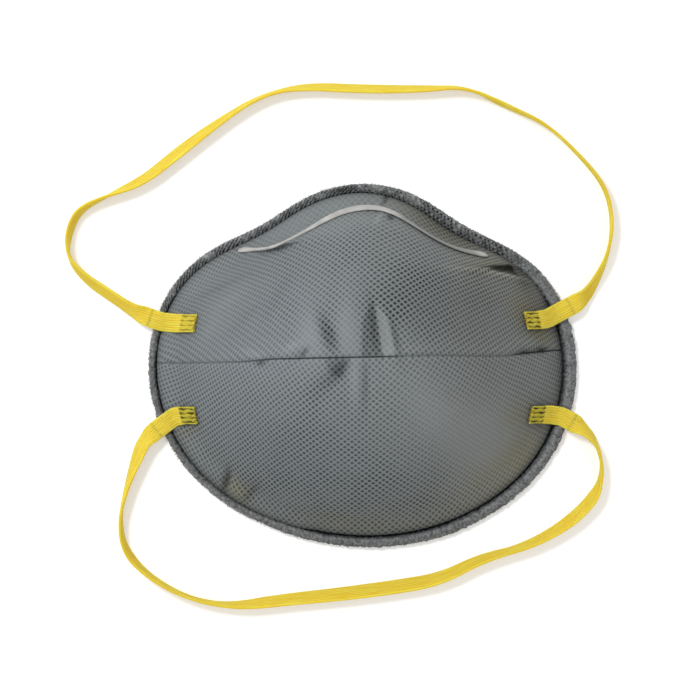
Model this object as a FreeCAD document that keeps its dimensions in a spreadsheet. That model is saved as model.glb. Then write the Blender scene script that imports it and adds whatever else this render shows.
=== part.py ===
import FreeCAD, Part
import Sketcher
import math
import os

# A cup-shaped disposable dust mask, lying on its rim with the front upwards.
# X runs across the face, +Y towards the nose, +Z out through the front of the cup.
# The origin is on the table, under the middle of the rim. All sizes are in millimetres.

SIZES = [
    ("rim_half_width", 70.2, "middle to the outside of the edge, across the face"),
    ("rim_half_length", 59.5, "middle to the outside of the edge, nose to chin"),
    ("shoulder_dip", 6.1, "how far the outline draws in beside the nose"),
    ("shoulder_angle", 52.0, "where it draws in most, degrees up from the X axis"),
    ("shoulder_spread", 20.5, "how wide that dip is, degrees"),
    ("cup_depth", 44.0, "table to the crown of the cover web"),
    ("side_roundness", 2.1, "exponent of the wall's curve towards the cheeks"),
    ("face_roundness", 3.3, "exponent of the wall's curve towards nose and chin"),
    ("crown_shift", 2.6, "crown from the middle of the rim, towards the nose"),
    ("bead_width", 3.8, "welded edge bead, across"),
    ("bead_height", 3.0, "welded edge bead, above the table"),
    ("bead_round", 1.3, "rounding of the bead's upper edges"),
    ("margin_height", 0.6, "pressed margin under the ends of the webs"),
    ("margin_overlap", 0.4, "how far the margin runs past the innermost web"),
    ("wall_slant", 1.3, "width of the wall's foot on the margin, over the wall's thickness"),
    ("cover_thickness", 0.4, "embossed cover web"),
    ("fold_width", 0.6, "fold line across the cover, from its upper to its lower lip"),
    ("fold_depth", 0.2, "fold line, into the cover"),
    ("carbon_thickness", 0.9, "carbon-loaded web"),
    ("filter_thickness", 0.6, "electret filter web"),
    ("shell_thickness", 0.9, "moulded support shell"),
    ("lining_thickness", 0.3, "soft lining"),
    ("web_gap", 0.06, "room between one web and the next"),
    ("clip_length", 80.0, "nose clip, seen from the front"),
    ("clip_width", 5.0, "nose clip, across"),
    ("clip_thickness", 0.9, "nose clip"),
    ("clip_corner", 1.6, "nose clip, corner radius"),
    ("clip_share", 0.9, "middle of the clip, as a share of the way from crown to rim"),
    ("foam_length", 76.0, "nose foam, seen from the front"),
    ("foam_width", 9.0, "nose foam, across"),
    ("foam_thickness", 3.0, "nose foam"),
    ("foam_corner", 3.0, "nose foam, corner radius"),
    ("strap_width", 6.2, "elastic strap, across"),
    ("strap_thickness", 1.1, "elastic strap"),
    ("strap_seat", 0.4, "room between a strap end and what it lies on"),
    ("strap_joint", 0.8, "room between a strap's welded end and its loop"),
    ("strap_reach", 1.7, "turning point of a strap past the outside of the bead"),
    ("strap_lead", 5.0, "straight run of a loop past its turning point"),
    ("upper_left_level", 15.4, "where the upper strap turns, from the X axis to the nose"),
    ("upper_left_heading", 14.0, "way it leaves there, degrees from outwards to the nose"),
    ("upper_right_level", 19.2, "the same on the right"),
    ("upper_right_heading", 20.0, "the same on the right"),
    ("lower_left_level", -21.2, "where the lower strap turns, from the X axis to the nose"),
    ("lower_left_heading", -24.0, "way it leaves there, degrees from outwards to the nose"),
    ("lower_right_level", -18.6, "the same on the right"),
    ("lower_right_heading", -22.0, "the same on the right"),
    ("weld_reach", 11.8, "inner end of a strap weld, in from the middle of the bead"),
    ("weld_margin", 0.8, "plain strap at the inner end of a weld"),
    ("weld_length", 4.4, "pressed grooves of a weld, along the strap"),
    ("weld_groove", 0.5, "one pressed groove, across"),
    ("weld_depth", 0.35, "one pressed groove, into the strap"),
]

# Shares of the way from crown to rim at which the cup's rings lie, the rim first.
RING_SHARES = [1.0, 0.94, 0.86, 0.76, 0.64, 0.5, 0.35, 0.2, 0.08]
# The points of each ring, and of the rim's outline.
RING_STEPS = range(24)
OUTLINE_STEPS = range(36)
# The pressed grooves side by side in each strap weld.
WELD_GROOVES = range(4)
# Each arc of a strap's path takes this share of the shorter of its two runs.
ARC_SHARE = 0.45

# Where each strap's loop lies on the table, from its left end round to its right end:
# (x, y, z). Its ends follow from the rim.
UPPER_LOOP = [
    (-82.0, 22.5, 2.6),
    (-91.0, 28.5, 0.9),
    (-96.7, 35.5, 0.7),
    (-96.0, 44.0, 0.7),
    (-92.5, 51.0, 0.7),
    (-83.0, 55.5, 0.7),
    (-71.5, 60.3, 0.7),
    (-60.0, 69.7, 0.7),
    (-47.0, 79.5, 0.7),
    (-34.0, 87.8, 0.7),
    (-20.0, 91.2, 0.7),
    (0.0, 90.2, 0.7),
    (20.0, 90.2, 0.7),
    (34.0, 91.0, 0.7),
    (47.0, 84.6, 0.7),
    (60.0, 79.0, 0.7),
    (71.0, 68.5, 0.7),
    (79.3, 58.5, 0.7),
    (81.9, 47.0, 0.7),
    (80.2, 36.0, 0.8),
    (76.5, 28.0, 2.2),
]
LOWER_LOOP = [
    (-73.8, -30.5, 3.0),
    (-77.0, -39.5, 1.2),
    (-79.5, -50.0, 0.7),
    (-78.0, -60.5, 0.7),
    (-70.2, -69.0, 0.7),
    (-57.5, -76.2, 0.7),
    (-43.0, -79.0, 0.7),
    (-26.0, -76.8, 0.7),
    (-8.0, -75.0, 0.7),
    (10.0, -72.7, 0.7),
    (25.5, -70.0, 0.7),
    (38.5, -63.3, 0.7),
    (54.0, -59.2, 0.7),
    (67.3, -51.8, 0.7),
    (76.3, -42.8, 0.7),
    (78.6, -34.0, 1.1),
    (76.8, -26.0, 2.7),
]


def make_sheet(doc):
    """The driving sizes, one aliased cell each with its meaning beside it."""
    sheet = doc.addObject("Spreadsheet::Sheet", "sizes")
    for row, (name, value, meaning) in enumerate(SIZES, start=1):
        sheet.set(f"A{row}", name)
        sheet.set(f"B{row}", str(value))
        sheet.setAlias(f"B{row}", name)
        sheet.set(f"C{row}", meaning)
    doc.recompute()
    return sheet


doc = FreeCAD.newDocument("dust_mask")
sheet = make_sheet(doc)


def size(name):
    """A size from the sheet."""
    return float(sheet.get(name))


# ---------------------------------------------------------------- the cup's form

def rim_reach(angle):
    """Middle to the outside of the edge: an ellipse drawn in at the two shoulders."""
    across = math.cos(angle) / size("rim_half_width")
    along = math.sin(angle) / size("rim_half_length")
    return 1 / math.hypot(across, along) - shoulder(angle)


def shoulder(angle):
    """How far the outline is drawn in at this angle."""
    right = math.radians(size("shoulder_angle"))
    spread = math.radians(size("shoulder_spread"))
    total = 0.0
    for middle in (right, math.pi - right):
        total += math.exp(-(((angle - middle) / spread) ** 2))
    return size("shoulder_dip") * total


def wall_point(angle, share):
    """A point of the cover's outside: share is 0 at the crown and 1 at the table.
    The drawn-in shoulders fade towards the crown, and the height falls as a power of share."""
    foot = rim_reach(angle) + shoulder(angle) - size("bead_width") - size("web_gap")
    reach = share * (foot - shoulder(angle) * share ** 2)
    facing = math.sin(angle) ** 2
    power = size("side_roundness") * (1 - facing) + size("face_roundness") * facing
    return FreeCAD.Vector(
        reach * math.cos(angle),
        reach * math.sin(angle) + size("crown_shift") * (1 - share),
        size("cup_depth") * (1 - share ** power),
    )


def wall_normal(angle, share):
    """The outward normal of the cover at that point, from two short chords."""
    step = 0.001
    around = wall_point(angle + step, share) - wall_point(angle - step, share)
    inwards = wall_point(angle, share * (1 - step)) - wall_point(angle, share * (1 + step))
    return around.cross(inwards).normalize()


def skin_point(angle, share, inset):
    """A point that lies inset under the cover's outside, or above it where inset is negative."""
    if share == 0:
        return FreeCAD.Vector(0, size("crown_shift"), size("cup_depth") - inset)
    return wall_point(angle, share) - wall_normal(angle, share) * inset


def share_at_height(angle, inset, height):
    """The share at which that skin comes down to a height, by halving."""
    high, low = 0.4, 1.4
    for _ in range(40):
        middle = (high + low) / 2
        if skin_point(angle, middle, inset).z > height:
            high = middle
        else:
            low = middle
    return high


def angles(steps):
    """Equal turns right round, from the left."""
    return [2 * math.pi * step / len(steps) - math.pi for step in steps]


def closed_curve(points):
    """A smooth closed curve through points, with one knot at each."""
    curve = Part.BSplineCurve()
    knots = [float(i) for i in range(len(points) + 1)]
    curve.interpolate(Points=points, PeriodicFlag=True, Parameters=knots)
    return Part.Wire([curve.toShape()])


def dome(name, inset):
    """The solid under one skin of the cup, down to the pressed margin."""
    turns = angles(RING_STEPS)
    feet = [share_at_height(turn, inset, size("margin_height")) for turn in turns]
    rings = []
    for part_way in RING_SHARES:
        ring = [skin_point(turn, part_way * foot, inset) for turn, foot in zip(turns, feet)]
        rings.append(closed_curve(ring))
    rings.append(Part.Vertex(skin_point(0, 0, inset)))
    feature = doc.addObject("Part::Feature", name)
    feature.Shape = Part.makeLoft(rings, True)
    return feature


def skin(name, inset, thickness):
    """One web of the cup: the dome at inset less the dome a thickness further in."""
    web = doc.addObject("Part::Cut", name)
    web.Base = dome(name + "_outside", inset)
    web.Tool = dome(name + "_inside", inset + thickness)
    return web


def pressed_fold(web):
    """The web with a fold line pressed in, level right across the crown."""
    strip = doc.addObject("Part::Box", "fold_strip")
    strip.setExpression("Length", "sizes.rim_half_width * 2")
    strip.setExpression("Width", "sizes.fold_width")
    strip.setExpression("Height", "sizes.cup_depth * 2")
    corner = FreeCAD.Vector(-size("rim_half_width"), size("crown_shift") - size("fold_width") / 2, 0)
    strip.Placement = FreeCAD.Placement(corner, FreeCAD.Rotation())
    groove = doc.addObject("Part::Common", "fold_groove")
    groove.Base = skin("fold_skin", -size("fold_depth"), 2 * size("fold_depth"))
    groove.Tool = strip
    folded = doc.addObject("Part::Cut", "cover_web")
    folded.Base = web
    folded.Tool = groove
    return folded


def make_webs():
    """The five webs, each nested in the one before. Gives the depth of the innermost face."""
    webs = []
    inset = 0.0
    for name, thickness in [
        ("smooth_cover", "cover_thickness"),
        ("carbon_web", "carbon_thickness"),
        ("filter_web", "filter_thickness"),
        ("support_shell", "shell_thickness"),
        ("inner_lining", "lining_thickness"),
    ]:
        webs.append(skin(name, inset, size(thickness)))
        inset += size(thickness) + size("web_gap")
    webs[0] = pressed_fold(webs[0])
    return webs, inset - size("web_gap")


# ---------------------------------------------------------------- the edge

def rim_outline(inset):
    """The rim's outline, drawn in by inset along its own normal, on the table."""
    step = 0.001
    points = []
    for angle in angles(OUTLINE_STEPS):
        here, ahead = [
            FreeCAD.Vector(rim_reach(a) * math.cos(a), rim_reach(a) * math.sin(a), 0)
            for a in (angle, angle + step)
        ]
        along = (ahead - here).normalize()
        points.append(here + FreeCAD.Vector(-along.y, along.x, 0) * inset)
    return closed_curve(points)


def ring_plate(name, outer, inner, height_name):
    """A flat ring between two insets of the rim, standing on the table."""
    face = doc.addObject("Part::Feature", name + "_face")
    face.Shape = Part.Face([rim_outline(outer), rim_outline(inner)], "Part::FaceMakerBullseye")
    plate = doc.addObject("Part::Extrusion", name)
    plate.Base = face
    plate.DirMode = "Custom"
    plate.Dir = FreeCAD.Vector(0, 0, 1)
    plate.Solid = True
    plate.setExpression("LengthFwd", f"sizes.{height_name}")
    return plate


def make_edge(wall):
    """The rounded bead with the thin pressed margin that the webs end on."""
    bead = ring_plate("bead", 0, size("bead_width"), "bead_height")
    margin_end = size("bead_width") + size("wall_slant") * wall + size("margin_overlap")
    margin = ring_plate("margin", size("bead_width") / 2, margin_end, "margin_height")
    doc.recompute()
    rounded = doc.addObject("Part::Fillet", "rounded_bead")
    rounded.Base = bead
    top = size("bead_height")
    radius = size("bead_round")
    rounded.Edges = [
        (number, radius, radius)
        for number, edge in enumerate(bead.Shape.Edges, start=1)
        if edge.BoundBox.ZMin > top - 0.001
    ]
    edge_band = doc.addObject("Part::Fuse", "edge_band")
    edge_band.Base = rounded
    edge_band.Tool = margin
    return edge_band


# ---------------------------------------------------------------- nose clip and foam

def strip_blank(name, prefix, depth):
    """A flat rounded strip with its middle at the origin, its sizes bound to the sheet."""
    body = doc.addObject("PartDesign::Body", name)
    plane = [f for f in body.Origin.OriginFeatures if f.Role == "XY_Plane"][0]
    sketch = body.newObject("Sketcher::SketchObject", name + "_sketch")
    sketch.AttachmentSupport = [(plane, "")]
    sketch.MapMode = "FlatFace"
    a, b = size(prefix + "_length") / 2, size(prefix + "_width") / 2
    corners = [FreeCAD.Vector(x, y, 0) for x, y in ((-a, -b), (a, -b), (a, b), (-a, b))]
    for start, end in zip(corners, corners[1:] + corners[:1]):
        sketch.addGeometry(Part.LineSegment(start, end))
    for line in range(4):
        sketch.addConstraint(Sketcher.Constraint("Coincident", line, 2, (line + 1) % 4, 1))
        sketch.addConstraint(Sketcher.Constraint("Vertical" if line % 2 else "Horizontal", line))
    sketch.addConstraint(Sketcher.Constraint("Symmetric", 0, 1, 2, 1, -1, 1))
    long_side = sketch.addConstraint(Sketcher.Constraint("DistanceX", 0, 1, 0, 2, 2 * a))
    short_side = sketch.addConstraint(Sketcher.Constraint("DistanceY", 1, 1, 1, 2, 2 * b))
    sketch.setExpression(f"Constraints[{long_side}]", f"sizes.{prefix}_length")
    sketch.setExpression(f"Constraints[{short_side}]", f"sizes.{prefix}_width")
    pad = body.newObject("PartDesign::Pad", name + "_pad")
    pad.Profile = sketch
    pad.Midplane = True
    pad.Length = depth
    doc.recompute()
    rounding = body.newObject("PartDesign::Fillet", name + "_corners")
    upright = [
        f"Edge{number}"
        for number, edge in enumerate(pad.Shape.Edges, start=1)
        if edge.BoundBox.ZLength > depth / 2
    ]
    rounding.Base = (pad, upright)
    rounding.setExpression("Radius", f"sizes.{prefix}_corner")
    return body


def nose_piece(name, prefix, inset):
    """A strip that follows the nose wall: a skin of the cup inside a blank that looks
    straight at the middle of the nose."""
    share = size("clip_share")
    middle = skin_point(math.pi / 2, share, inset)
    normal = wall_normal(math.pi / 2, share)
    # The strip's ends lie about as far behind its middle as the cheeks fall away.
    depth = size(prefix + "_length") / 2
    blank = strip_blank(name + "_blank", prefix, depth)
    turn = FreeCAD.Rotation(FreeCAD.Vector(0, 0, 1), normal)
    blank.Placement = FreeCAD.Placement(middle, turn)
    piece = doc.addObject("Part::Common", name)
    piece.Base = skin(name + "_skin", inset, size(prefix + "_thickness"))
    piece.Tool = blank
    return piece


# ---------------------------------------------------------------- straps

def rounded_path(name, points):
    """Straight runs joined by tangent arcs, each arc as large as its two runs allow."""
    edges = []
    radii = []
    here = points[0]
    for before, corner, after in zip(points, points[1:], points[2:]):
        back, ahead = before - corner, after - corner
        cut = ARC_SHARE * min(back.Length, ahead.Length)
        back.normalize()
        ahead.normalize()
        half_turn = (math.pi - back.getAngle(ahead)) / 2
        radius = cut / math.tan(half_turn)
        radii.append(round(radius, 1))
        start, end = corner + back * cut, corner + ahead * cut
        bisector = (back + ahead).normalize()
        middle = corner + bisector * (radius / math.cos(half_turn) - radius)
        edges.append(Part.LineSegment(here, start).toShape())
        edges.append(Part.Arc(start, middle, end).toShape())
        here = end
    edges.append(Part.LineSegment(here, points[-1]).toShape())
    print(name, "radii", radii)
    return Part.Wire(edges)


def strap(name, points, across, flat):
    """A flat elastic band along a path. Across is the way that its width faces at the start;
    a flat one keeps its thickness upright all along, another turns with its path."""
    path = rounded_path(name, points)
    facing = (points[1] - points[0]).normalize().cross(across)
    side = across * (size("strap_width") / 2)
    rise = facing * (size("strap_thickness") / 2)
    corners = [points[0] + turn for turn in (side + rise, rise - side, -side - rise, side - rise)]
    sweep = Part.BRepOffsetAPI.MakePipeShell(path)
    if flat:
        sweep.setBiNormalMode(FreeCAD.Vector(0, 0, 1))
    sweep.add(Part.makePolygon(corners + corners[:1]))
    sweep.build()
    sweep.makeSolid()
    feature = doc.addObject("Part::Feature", name)
    feature.Shape = sweep.shape()
    full = path.Length * size("strap_width") * size("strap_thickness")
    share = feature.Shape.Volume / full
    print(name, "length", round(path.Length, 1), "volume over section x length", round(share, 4))
    return feature


def edge_at_level(level):
    """How far out the rim is at a level, by halving the turn from the X axis."""
    low, high = 0.0, math.pi / 2
    for _ in range(40):
        middle = (low + high) / 2
        if rim_reach(math.copysign(middle, level)) * math.sin(middle) < abs(level):
            low = middle
        else:
            high = middle
    return rim_reach(math.copysign(low, level)) * math.cos(low)


def skin_over(x, y, inset):
    """The point of a skin that lies straight above (x, y), by repeated correction."""
    angle, share = math.atan2(y, x), 0.8
    for _ in range(30):
        point = skin_point(angle, share, inset)
        angle += math.atan2(y, x) - math.atan2(point.y, point.x)
        share *= math.hypot(x, y) / math.hypot(point.x, point.y)
    return point


def turning_point(level):
    """Where a strap turns on the right: above the bead and just outside it."""
    height = size("bead_height") + size("strap_seat") + size("strap_thickness") / 2
    return FreeCAD.Vector(edge_at_level(level) + size("strap_reach"), level, height)


def heading(end):
    """The way that a strap end leaves over the bead, on the right."""
    turn = math.radians(size(end + "_heading"))
    return FreeCAD.Vector(math.cos(turn), math.sin(turn), 0)


def to_side(point, side):
    """The point itself on the right, side 1, or its mirror image on the left, side -1."""
    return FreeCAD.Vector(side * point.x, point.y, point.z)


def pressed_weld(name, band, corner, along, across):
    """The band with its weld's grooves pressed into its upper face, side by side."""
    facing = along.cross(across)
    if facing.z < 0:
        facing = -facing
    spacing = size("strap_width") / (len(WELD_GROOVES) + 1)
    surface = corner + facing * (size("strap_thickness") / 2 - size("weld_depth"))
    grooves = []
    for number in WELD_GROOVES:
        aside = (number + 1) * spacing - size("strap_width") / 2
        groove = doc.addObject("Part::Box", f"{name}_groove_{number}")
        groove.setExpression("Length", "sizes.weld_length")
        groove.setExpression("Width", "sizes.weld_groove")
        groove.setExpression("Height", "sizes.weld_depth * 2")
        groove.Placement = FreeCAD.Placement(
            surface + along * size("weld_margin") + across * (aside - size("weld_groove") / 2),
            FreeCAD.Rotation(along, across, facing, "XZY"),
        )
        grooves.append(groove)
    press = doc.addObject("Part::MultiFuse", name + "_press")
    press.Shapes = grooves
    welded = doc.addObject("Part::Cut", name)
    welded.Base = band
    welded.Tool = press
    return welded


def strap_end(end, side):
    """A strap's welded end: straight down the wall, over the bead, and out to where the
    strap turns."""
    turn = turning_point(size(end + "_level"))
    ahead = heading(end)
    bead_top = turn - ahead * (size("strap_reach") + size("bead_width") / 2)
    wall_faces = wall_normal(math.atan2(turn.y, turn.x), 1)
    away = FreeCAD.Vector(wall_faces.x, wall_faces.y, 0).normalize()
    bead_inside = bead_top - away * (size("bead_width") / 2)
    foot = bead_inside - away * size("bead_height")
    start = bead_top - away * size("weld_reach")
    rest = size("strap_seat") + size("strap_thickness") / 2
    route = [skin_over(start.x, start.y, -rest), skin_over(foot.x, foot.y, -rest)]
    route += [bead_inside, bead_top, turn - ahead * size("strap_joint")]
    placed = [to_side(point, side) for point in route]
    across = FreeCAD.Vector(-away.y, side * away.x, 0)
    name = end + "_strap_end"
    band = strap(name + "_band", placed, across, False)
    along = (placed[1] - placed[0]).normalize()
    return pressed_weld(name, band, placed[0], along, side * across)


def strap_loop(prefix, points):
    """A strap's free loop, from its left turning point round to its right one."""
    ends = []
    for word, side in (("_left", -1), ("_right", 1)):
        turn = turning_point(size(prefix + word + "_level"))
        lead = turn + heading(prefix + word) * size("strap_lead")
        ends.append([to_side(turn, side), to_side(lead, side)])
    route = ends[0] + [FreeCAD.Vector(*point) for point in points] + ends[1][::-1]
    across = (route[1] - route[0]).normalize().cross(FreeCAD.Vector(0, 0, 1))
    return strap(prefix + "_strap", route, across, True)


def make_straps():
    """Two loops, each with its two welded ends."""
    pieces = []
    for prefix, points in (("upper", UPPER_LOOP), ("lower", LOWER_LOOP)):
        pieces.append(strap_loop(prefix, points))
        for word, side in (("left", -1), ("right", 1)):
            pieces.append(strap_end(f"{prefix}_{word}", side))
    return pieces


# ---------------------------------------------------------------- the whole mask

def check(parts):
    """Stops on a failed object, or on a sub-part that isn't a valid solid."""
    for item in doc.Objects:
        if "Invalid" in item.State or "Error" in item.State:
            raise RuntimeError(f"{item.Name} failed: {item.State}")
    for item in parts:
        shape = item.Shape
        if shape.isNull() or not shape.isValid() or not shape.Solids:
            raise RuntimeError(f"{item.Name} is not a valid solid")


def write(parts):
    """One file for each sub-part, named after it."""
    os.makedirs("parts", exist_ok=True)
    for item in parts:
        item.Shape.exportStep(os.path.join("parts", item.Label + ".step"))
        print(item.Label, "volume", round(item.Shape.Volume), "solids", len(item.Shape.Solids))


webs, wall = make_webs()
parts = list(webs)
parts.append(make_edge(wall))
parts.append(nose_piece("nose_clip", "clip", -size("clip_thickness") - size("web_gap")))
parts.append(nose_piece("nose_foam", "foam", wall + size("web_gap")))
parts += make_straps()
doc.recompute()
for item in parts:
    item.Label = item.Name
check(parts)
write(parts)
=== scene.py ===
import bpy
import numpy as np
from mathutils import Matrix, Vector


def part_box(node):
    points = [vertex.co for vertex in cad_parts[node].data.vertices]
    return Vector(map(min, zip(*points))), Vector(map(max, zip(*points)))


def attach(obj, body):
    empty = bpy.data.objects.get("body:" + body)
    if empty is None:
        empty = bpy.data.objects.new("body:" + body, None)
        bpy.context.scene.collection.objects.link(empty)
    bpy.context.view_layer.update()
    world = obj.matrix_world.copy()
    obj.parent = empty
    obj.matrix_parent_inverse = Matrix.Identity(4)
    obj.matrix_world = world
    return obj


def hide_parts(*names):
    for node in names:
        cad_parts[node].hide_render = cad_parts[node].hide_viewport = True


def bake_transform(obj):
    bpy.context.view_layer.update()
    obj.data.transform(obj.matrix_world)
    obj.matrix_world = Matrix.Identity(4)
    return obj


# The looks of a cup-shaped disposable dust mask, lying on its rim with the front upwards.
# X runs across the face, +Y towards the nose, +Z out through the front of the cup.
# Sizes are in millimetres, and a mesh is turned to metres as it is made.

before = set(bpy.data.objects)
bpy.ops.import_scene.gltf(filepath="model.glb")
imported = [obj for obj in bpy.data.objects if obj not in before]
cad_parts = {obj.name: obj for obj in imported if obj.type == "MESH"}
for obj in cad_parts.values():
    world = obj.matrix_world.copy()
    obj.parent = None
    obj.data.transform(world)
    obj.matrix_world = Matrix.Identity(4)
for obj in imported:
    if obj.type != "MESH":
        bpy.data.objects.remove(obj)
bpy.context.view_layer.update()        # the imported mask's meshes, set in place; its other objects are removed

MM = 0.001


def box_mm(node):
    """The lowest and highest corner of a node, in millimetres."""
    return [np.array(corner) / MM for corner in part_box(node)]


# ---------------------------------------------------------------- driving sizes

EDGE_LOW, EDGE_HIGH = box_mm("edge_band")
RIM_HALF_WIDTH = EDGE_HIGH[0]
RIM_HALF_LENGTH = -EDGE_LOW[1]
BEAD_HEIGHT = EDGE_HIGH[2]
CUP_DEPTH = box_mm("cover_web")[1][2]

SHOULDER_DIP = 6.1          # how far the outline draws in beside the nose
SHOULDER_ANGLE = 52.0       # where it draws in most, degrees up from the X axis
SHOULDER_SPREAD = 20.5      # how wide that dip is, degrees
SIDE_ROUNDNESS = 2.1        # exponent of the wall's curve towards the cheeks
FACE_ROUNDNESS = 3.3        # exponent of the wall's curve towards nose and chin
CROWN_SHIFT = 2.6           # crown from the middle of the rim, towards the nose
BEAD_WIDTH = 3.8            # welded edge bead, across
FOOT_OVERLAP = 0.7          # how far the cover's foot swells over it where the seam is shallow
WEB_GAP = 0.06              # room between one web and the next
MARGIN_HEIGHT = 0.6         # pressed margin under the ends of the webs
COVER_THICKNESS = 0.4       # embossed cover web
DEEPEST_DENT = -0.4         # as far as the cover may sink, to the web under it

STRAP_WIDTH = 6.2           # elastic strap, across
STRAP_THICKNESS = 1.1
STRAP_RIBS = 8              # elastic cores side by side in the strap
STRAP_SEAT = 0.4            # room between a strap end and what it lies on
STRAP_REACH = 1.7           # turning point of a strap past the outside of the bead
STRAP_LEAD = 5.0            # first run of a loop past its turning point
STRAP_TUCK = 0.8            # how far a loop and its welded end run on inside one another
LOOP_DRAWN = [0.35, 0.6]    # share of its section at a loop's tucked tip, and half-way to it
END_DRAWN = [0.85, 0.6]     # and half-way to a welded end's tucked tip, and at it
WELD_LENGTH = 6.2           # pressed pad at the inner end of a strap
WELD_GROOVES = 4            # grooves that the weld presses into a pad
WELD_THINS = 0.3            # share of its thickness that a pad loses
GROOVE_THINS = 0.5          # and that it loses more in a groove

# Each welded end: the level where it turns, the way it leaves there in degrees from outwards
# to the nose, the middle of its pressed pad, and how hard the weld has pressed it.
STRAP_ENDS = {
    "upper_left": (15.4, 20.0, -57.4, 13.6, 0.5),
    "upper_right": (19.2, 28.0, 55.8, 14.5, 0.8),
    "lower_left": (-21.2, -38.0, -57.3, -16.2, 1.0),
    "lower_right": (-18.6, -30.0, 57.4, -16.0, 0.9),
}

# The control points of each loop's smooth line, from its left end round to its right end.
# The band stands on one edge along most of its way, so its middle lies half a width up.
UPPER_LOOP = [
    (-82.0, 22.5, 3.4),
    (-91.0, 28.5, 3.1),
    (-96.7, 35.5, 3.1),
    (-96.0, 44.0, 3.1),
    (-92.5, 51.0, 3.1),
    (-83.0, 55.5, 3.1),
    (-71.5, 60.3, 3.0),
    (-60.0, 69.7, 2.9),
    (-47.0, 79.5, 3.0),
    (-34.0, 87.8, 3.1),
    (-20.0, 91.2, 3.0),
    (0.0, 90.2, 2.9),
    (20.0, 90.2, 3.0),
    (34.0, 91.0, 3.1),
    (47.0, 84.6, 3.1),
    (60.0, 79.0, 3.1),
    (71.0, 68.5, 3.1),
    (79.3, 58.5, 3.1),
    (81.9, 47.0, 3.1),
    (80.2, 36.0, 3.1),
    (76.5, 28.0, 3.3),
]
LOWER_LOOP = [
    (-73.8, -30.5, 3.6),
    (-77.0, -39.5, 3.2),
    (-79.5, -50.0, 3.1),
    (-78.0, -60.5, 3.1),
    (-70.2, -69.0, 3.1),
    (-57.5, -76.2, 3.1),
    (-43.0, -79.0, 3.1),
    (-26.0, -76.8, 2.9),
    (-8.0, -75.0, 2.8),
    (10.0, -72.7, 2.8),
    (25.5, -70.0, 2.9),
    (38.5, -63.3, 3.0),
    (54.0, -59.2, 3.0),
    (67.3, -51.8, 2.9),
    (76.3, -42.8, 3.1),
    (78.6, -34.0, 3.1),
    (76.8, -26.0, 3.5),
]

# How far each loop leans: (share of its length, degrees). At 0 the band lies flat with its
# welded face up, at 90 it stands on edge with that face outwards, past 90 it leans inwards.
UPPER_LEAN = [(0.0, 0), (0.006, 2), (0.018, 44), (0.035, 56), (0.07, 58), (0.086, 65), (0.104, 73),
              (0.122, 87), (0.135, 97), (0.15, 104), (0.17, 104), (0.204, 90), (0.22, 75),
              (0.24, 63), (0.27, 56), (0.305, 53), (0.34, 60), (0.374, 71), (0.408, 78),
              (0.43, 80), (0.445, 76), (0.465, 69), (0.5, 62), (0.55, 62), (0.6, 68),
              (0.63, 78), (0.66, 84), (0.69, 96), (0.72, 92), (0.738, 88), (0.76, 84),
              (0.8, 87), (0.83, 90), (0.9, 89), (0.93, 80), (0.947, 71), (0.964, 62),
              (0.982, 42), (0.994, 2), (1.0, 0)]
LOWER_LEAN = [(0.0, 0), (0.006, 2), (0.018, 40), (0.042, 48), (0.066, 64), (0.086, 75), (0.107, 81),
              (0.135, 91), (0.16, 97), (0.19, 105), (0.225, 98), (0.29, 92), (0.33, 96),
              (0.35, 103), (0.39, 118), (0.45, 125), (0.54, 131), (0.6, 131), (0.66, 121),
              (0.7, 114), (0.74, 104), (0.783, 112), (0.845, 125), (0.88, 119), (0.9, 98),
              (0.925, 86), (0.955, 80), (0.967, 66), (0.977, 57), (0.988, 40), (0.994, 2), (1.0, 0)]


# ---------------------------------------------------------------- meshes

def put_mesh(name, points, faces, material, uv=None, tones=None, flat=0):
    """A smooth piece from points in millimetres and lists of faces, of which the last few may
    be flat. Each point may have a place in the UV map, and each named tone gives every point
    one number."""
    mesh = bpy.data.meshes.new(name)
    corners = [face for group in faces for face in group.tolist()]
    mesh.from_pydata((points * MM).tolist(), [], corners)
    mesh.polygons.foreach_set("use_smooth", np.arange(len(corners)) < len(corners) - flat)
    if uv is not None:
        loops = np.empty(len(mesh.loops), np.int32)
        mesh.loops.foreach_get("vertex_index", loops)
        mesh.uv_layers.new(name="cloth").data.foreach_set("uv", uv[loops].ravel())
    for tone, values in (tones or {}).items():
        made = mesh.attributes.new(tone, "FLOAT", "POINT")
        made.data.foreach_set("value", np.broadcast_to(values, len(points)).astype(np.float32))
    mesh.materials.append(material)
    mesh.update()
    piece = bpy.data.objects.new(name, mesh)
    bpy.context.scene.collection.objects.link(piece)
    return piece


def grid_faces(rows, columns, ring=False, first=0):
    """The quads of a grid of points counted row by row from first. In a ring, each row's
    last point joins its first. A quad faces the way that columns turn into rows."""
    across = columns if ring else columns - 1
    row, column = np.meshgrid(np.arange(rows - 1), np.arange(across), indexing="ij")
    after = (column + 1) % columns
    low, high = first + row * columns, first + (row + 1) * columns
    return np.stack([low + column, low + after, high + after, high + column], -1).reshape(-1, 4)


def torus_faces(rows, columns):
    """The quads of a grid that closes both ways, each facing as columns turn into rows."""
    return grid_faces(rows + 1, columns, ring=True) % (rows * columns)


def fan_faces(ring, middle):
    """The triangles from a closed ring of points to the one in its middle."""
    return np.stack([ring, np.roll(ring, -1), np.full(len(ring), middle)], -1)


def capped_tube(rings):
    """The points and faces of a tube through rings of points, with a fan over each end."""
    rows, columns, _ = rings.shape
    count = rows * columns
    points = np.concatenate([rings.reshape(-1, 3), rings[[0, -1]].mean(axis=1)])
    faces = [grid_faces(rows, columns, ring=True),
             fan_faces(np.arange(columns), count)[:, ::-1],
             fan_faces(np.arange(count - columns, count), count + 1)]
    return points, faces


def with_ends(values):
    """A tube's values, with 0 for the middles of its two ends."""
    return np.concatenate([values.ravel(), [0, 0]])


# ---------------------------------------------------------------- forms

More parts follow.
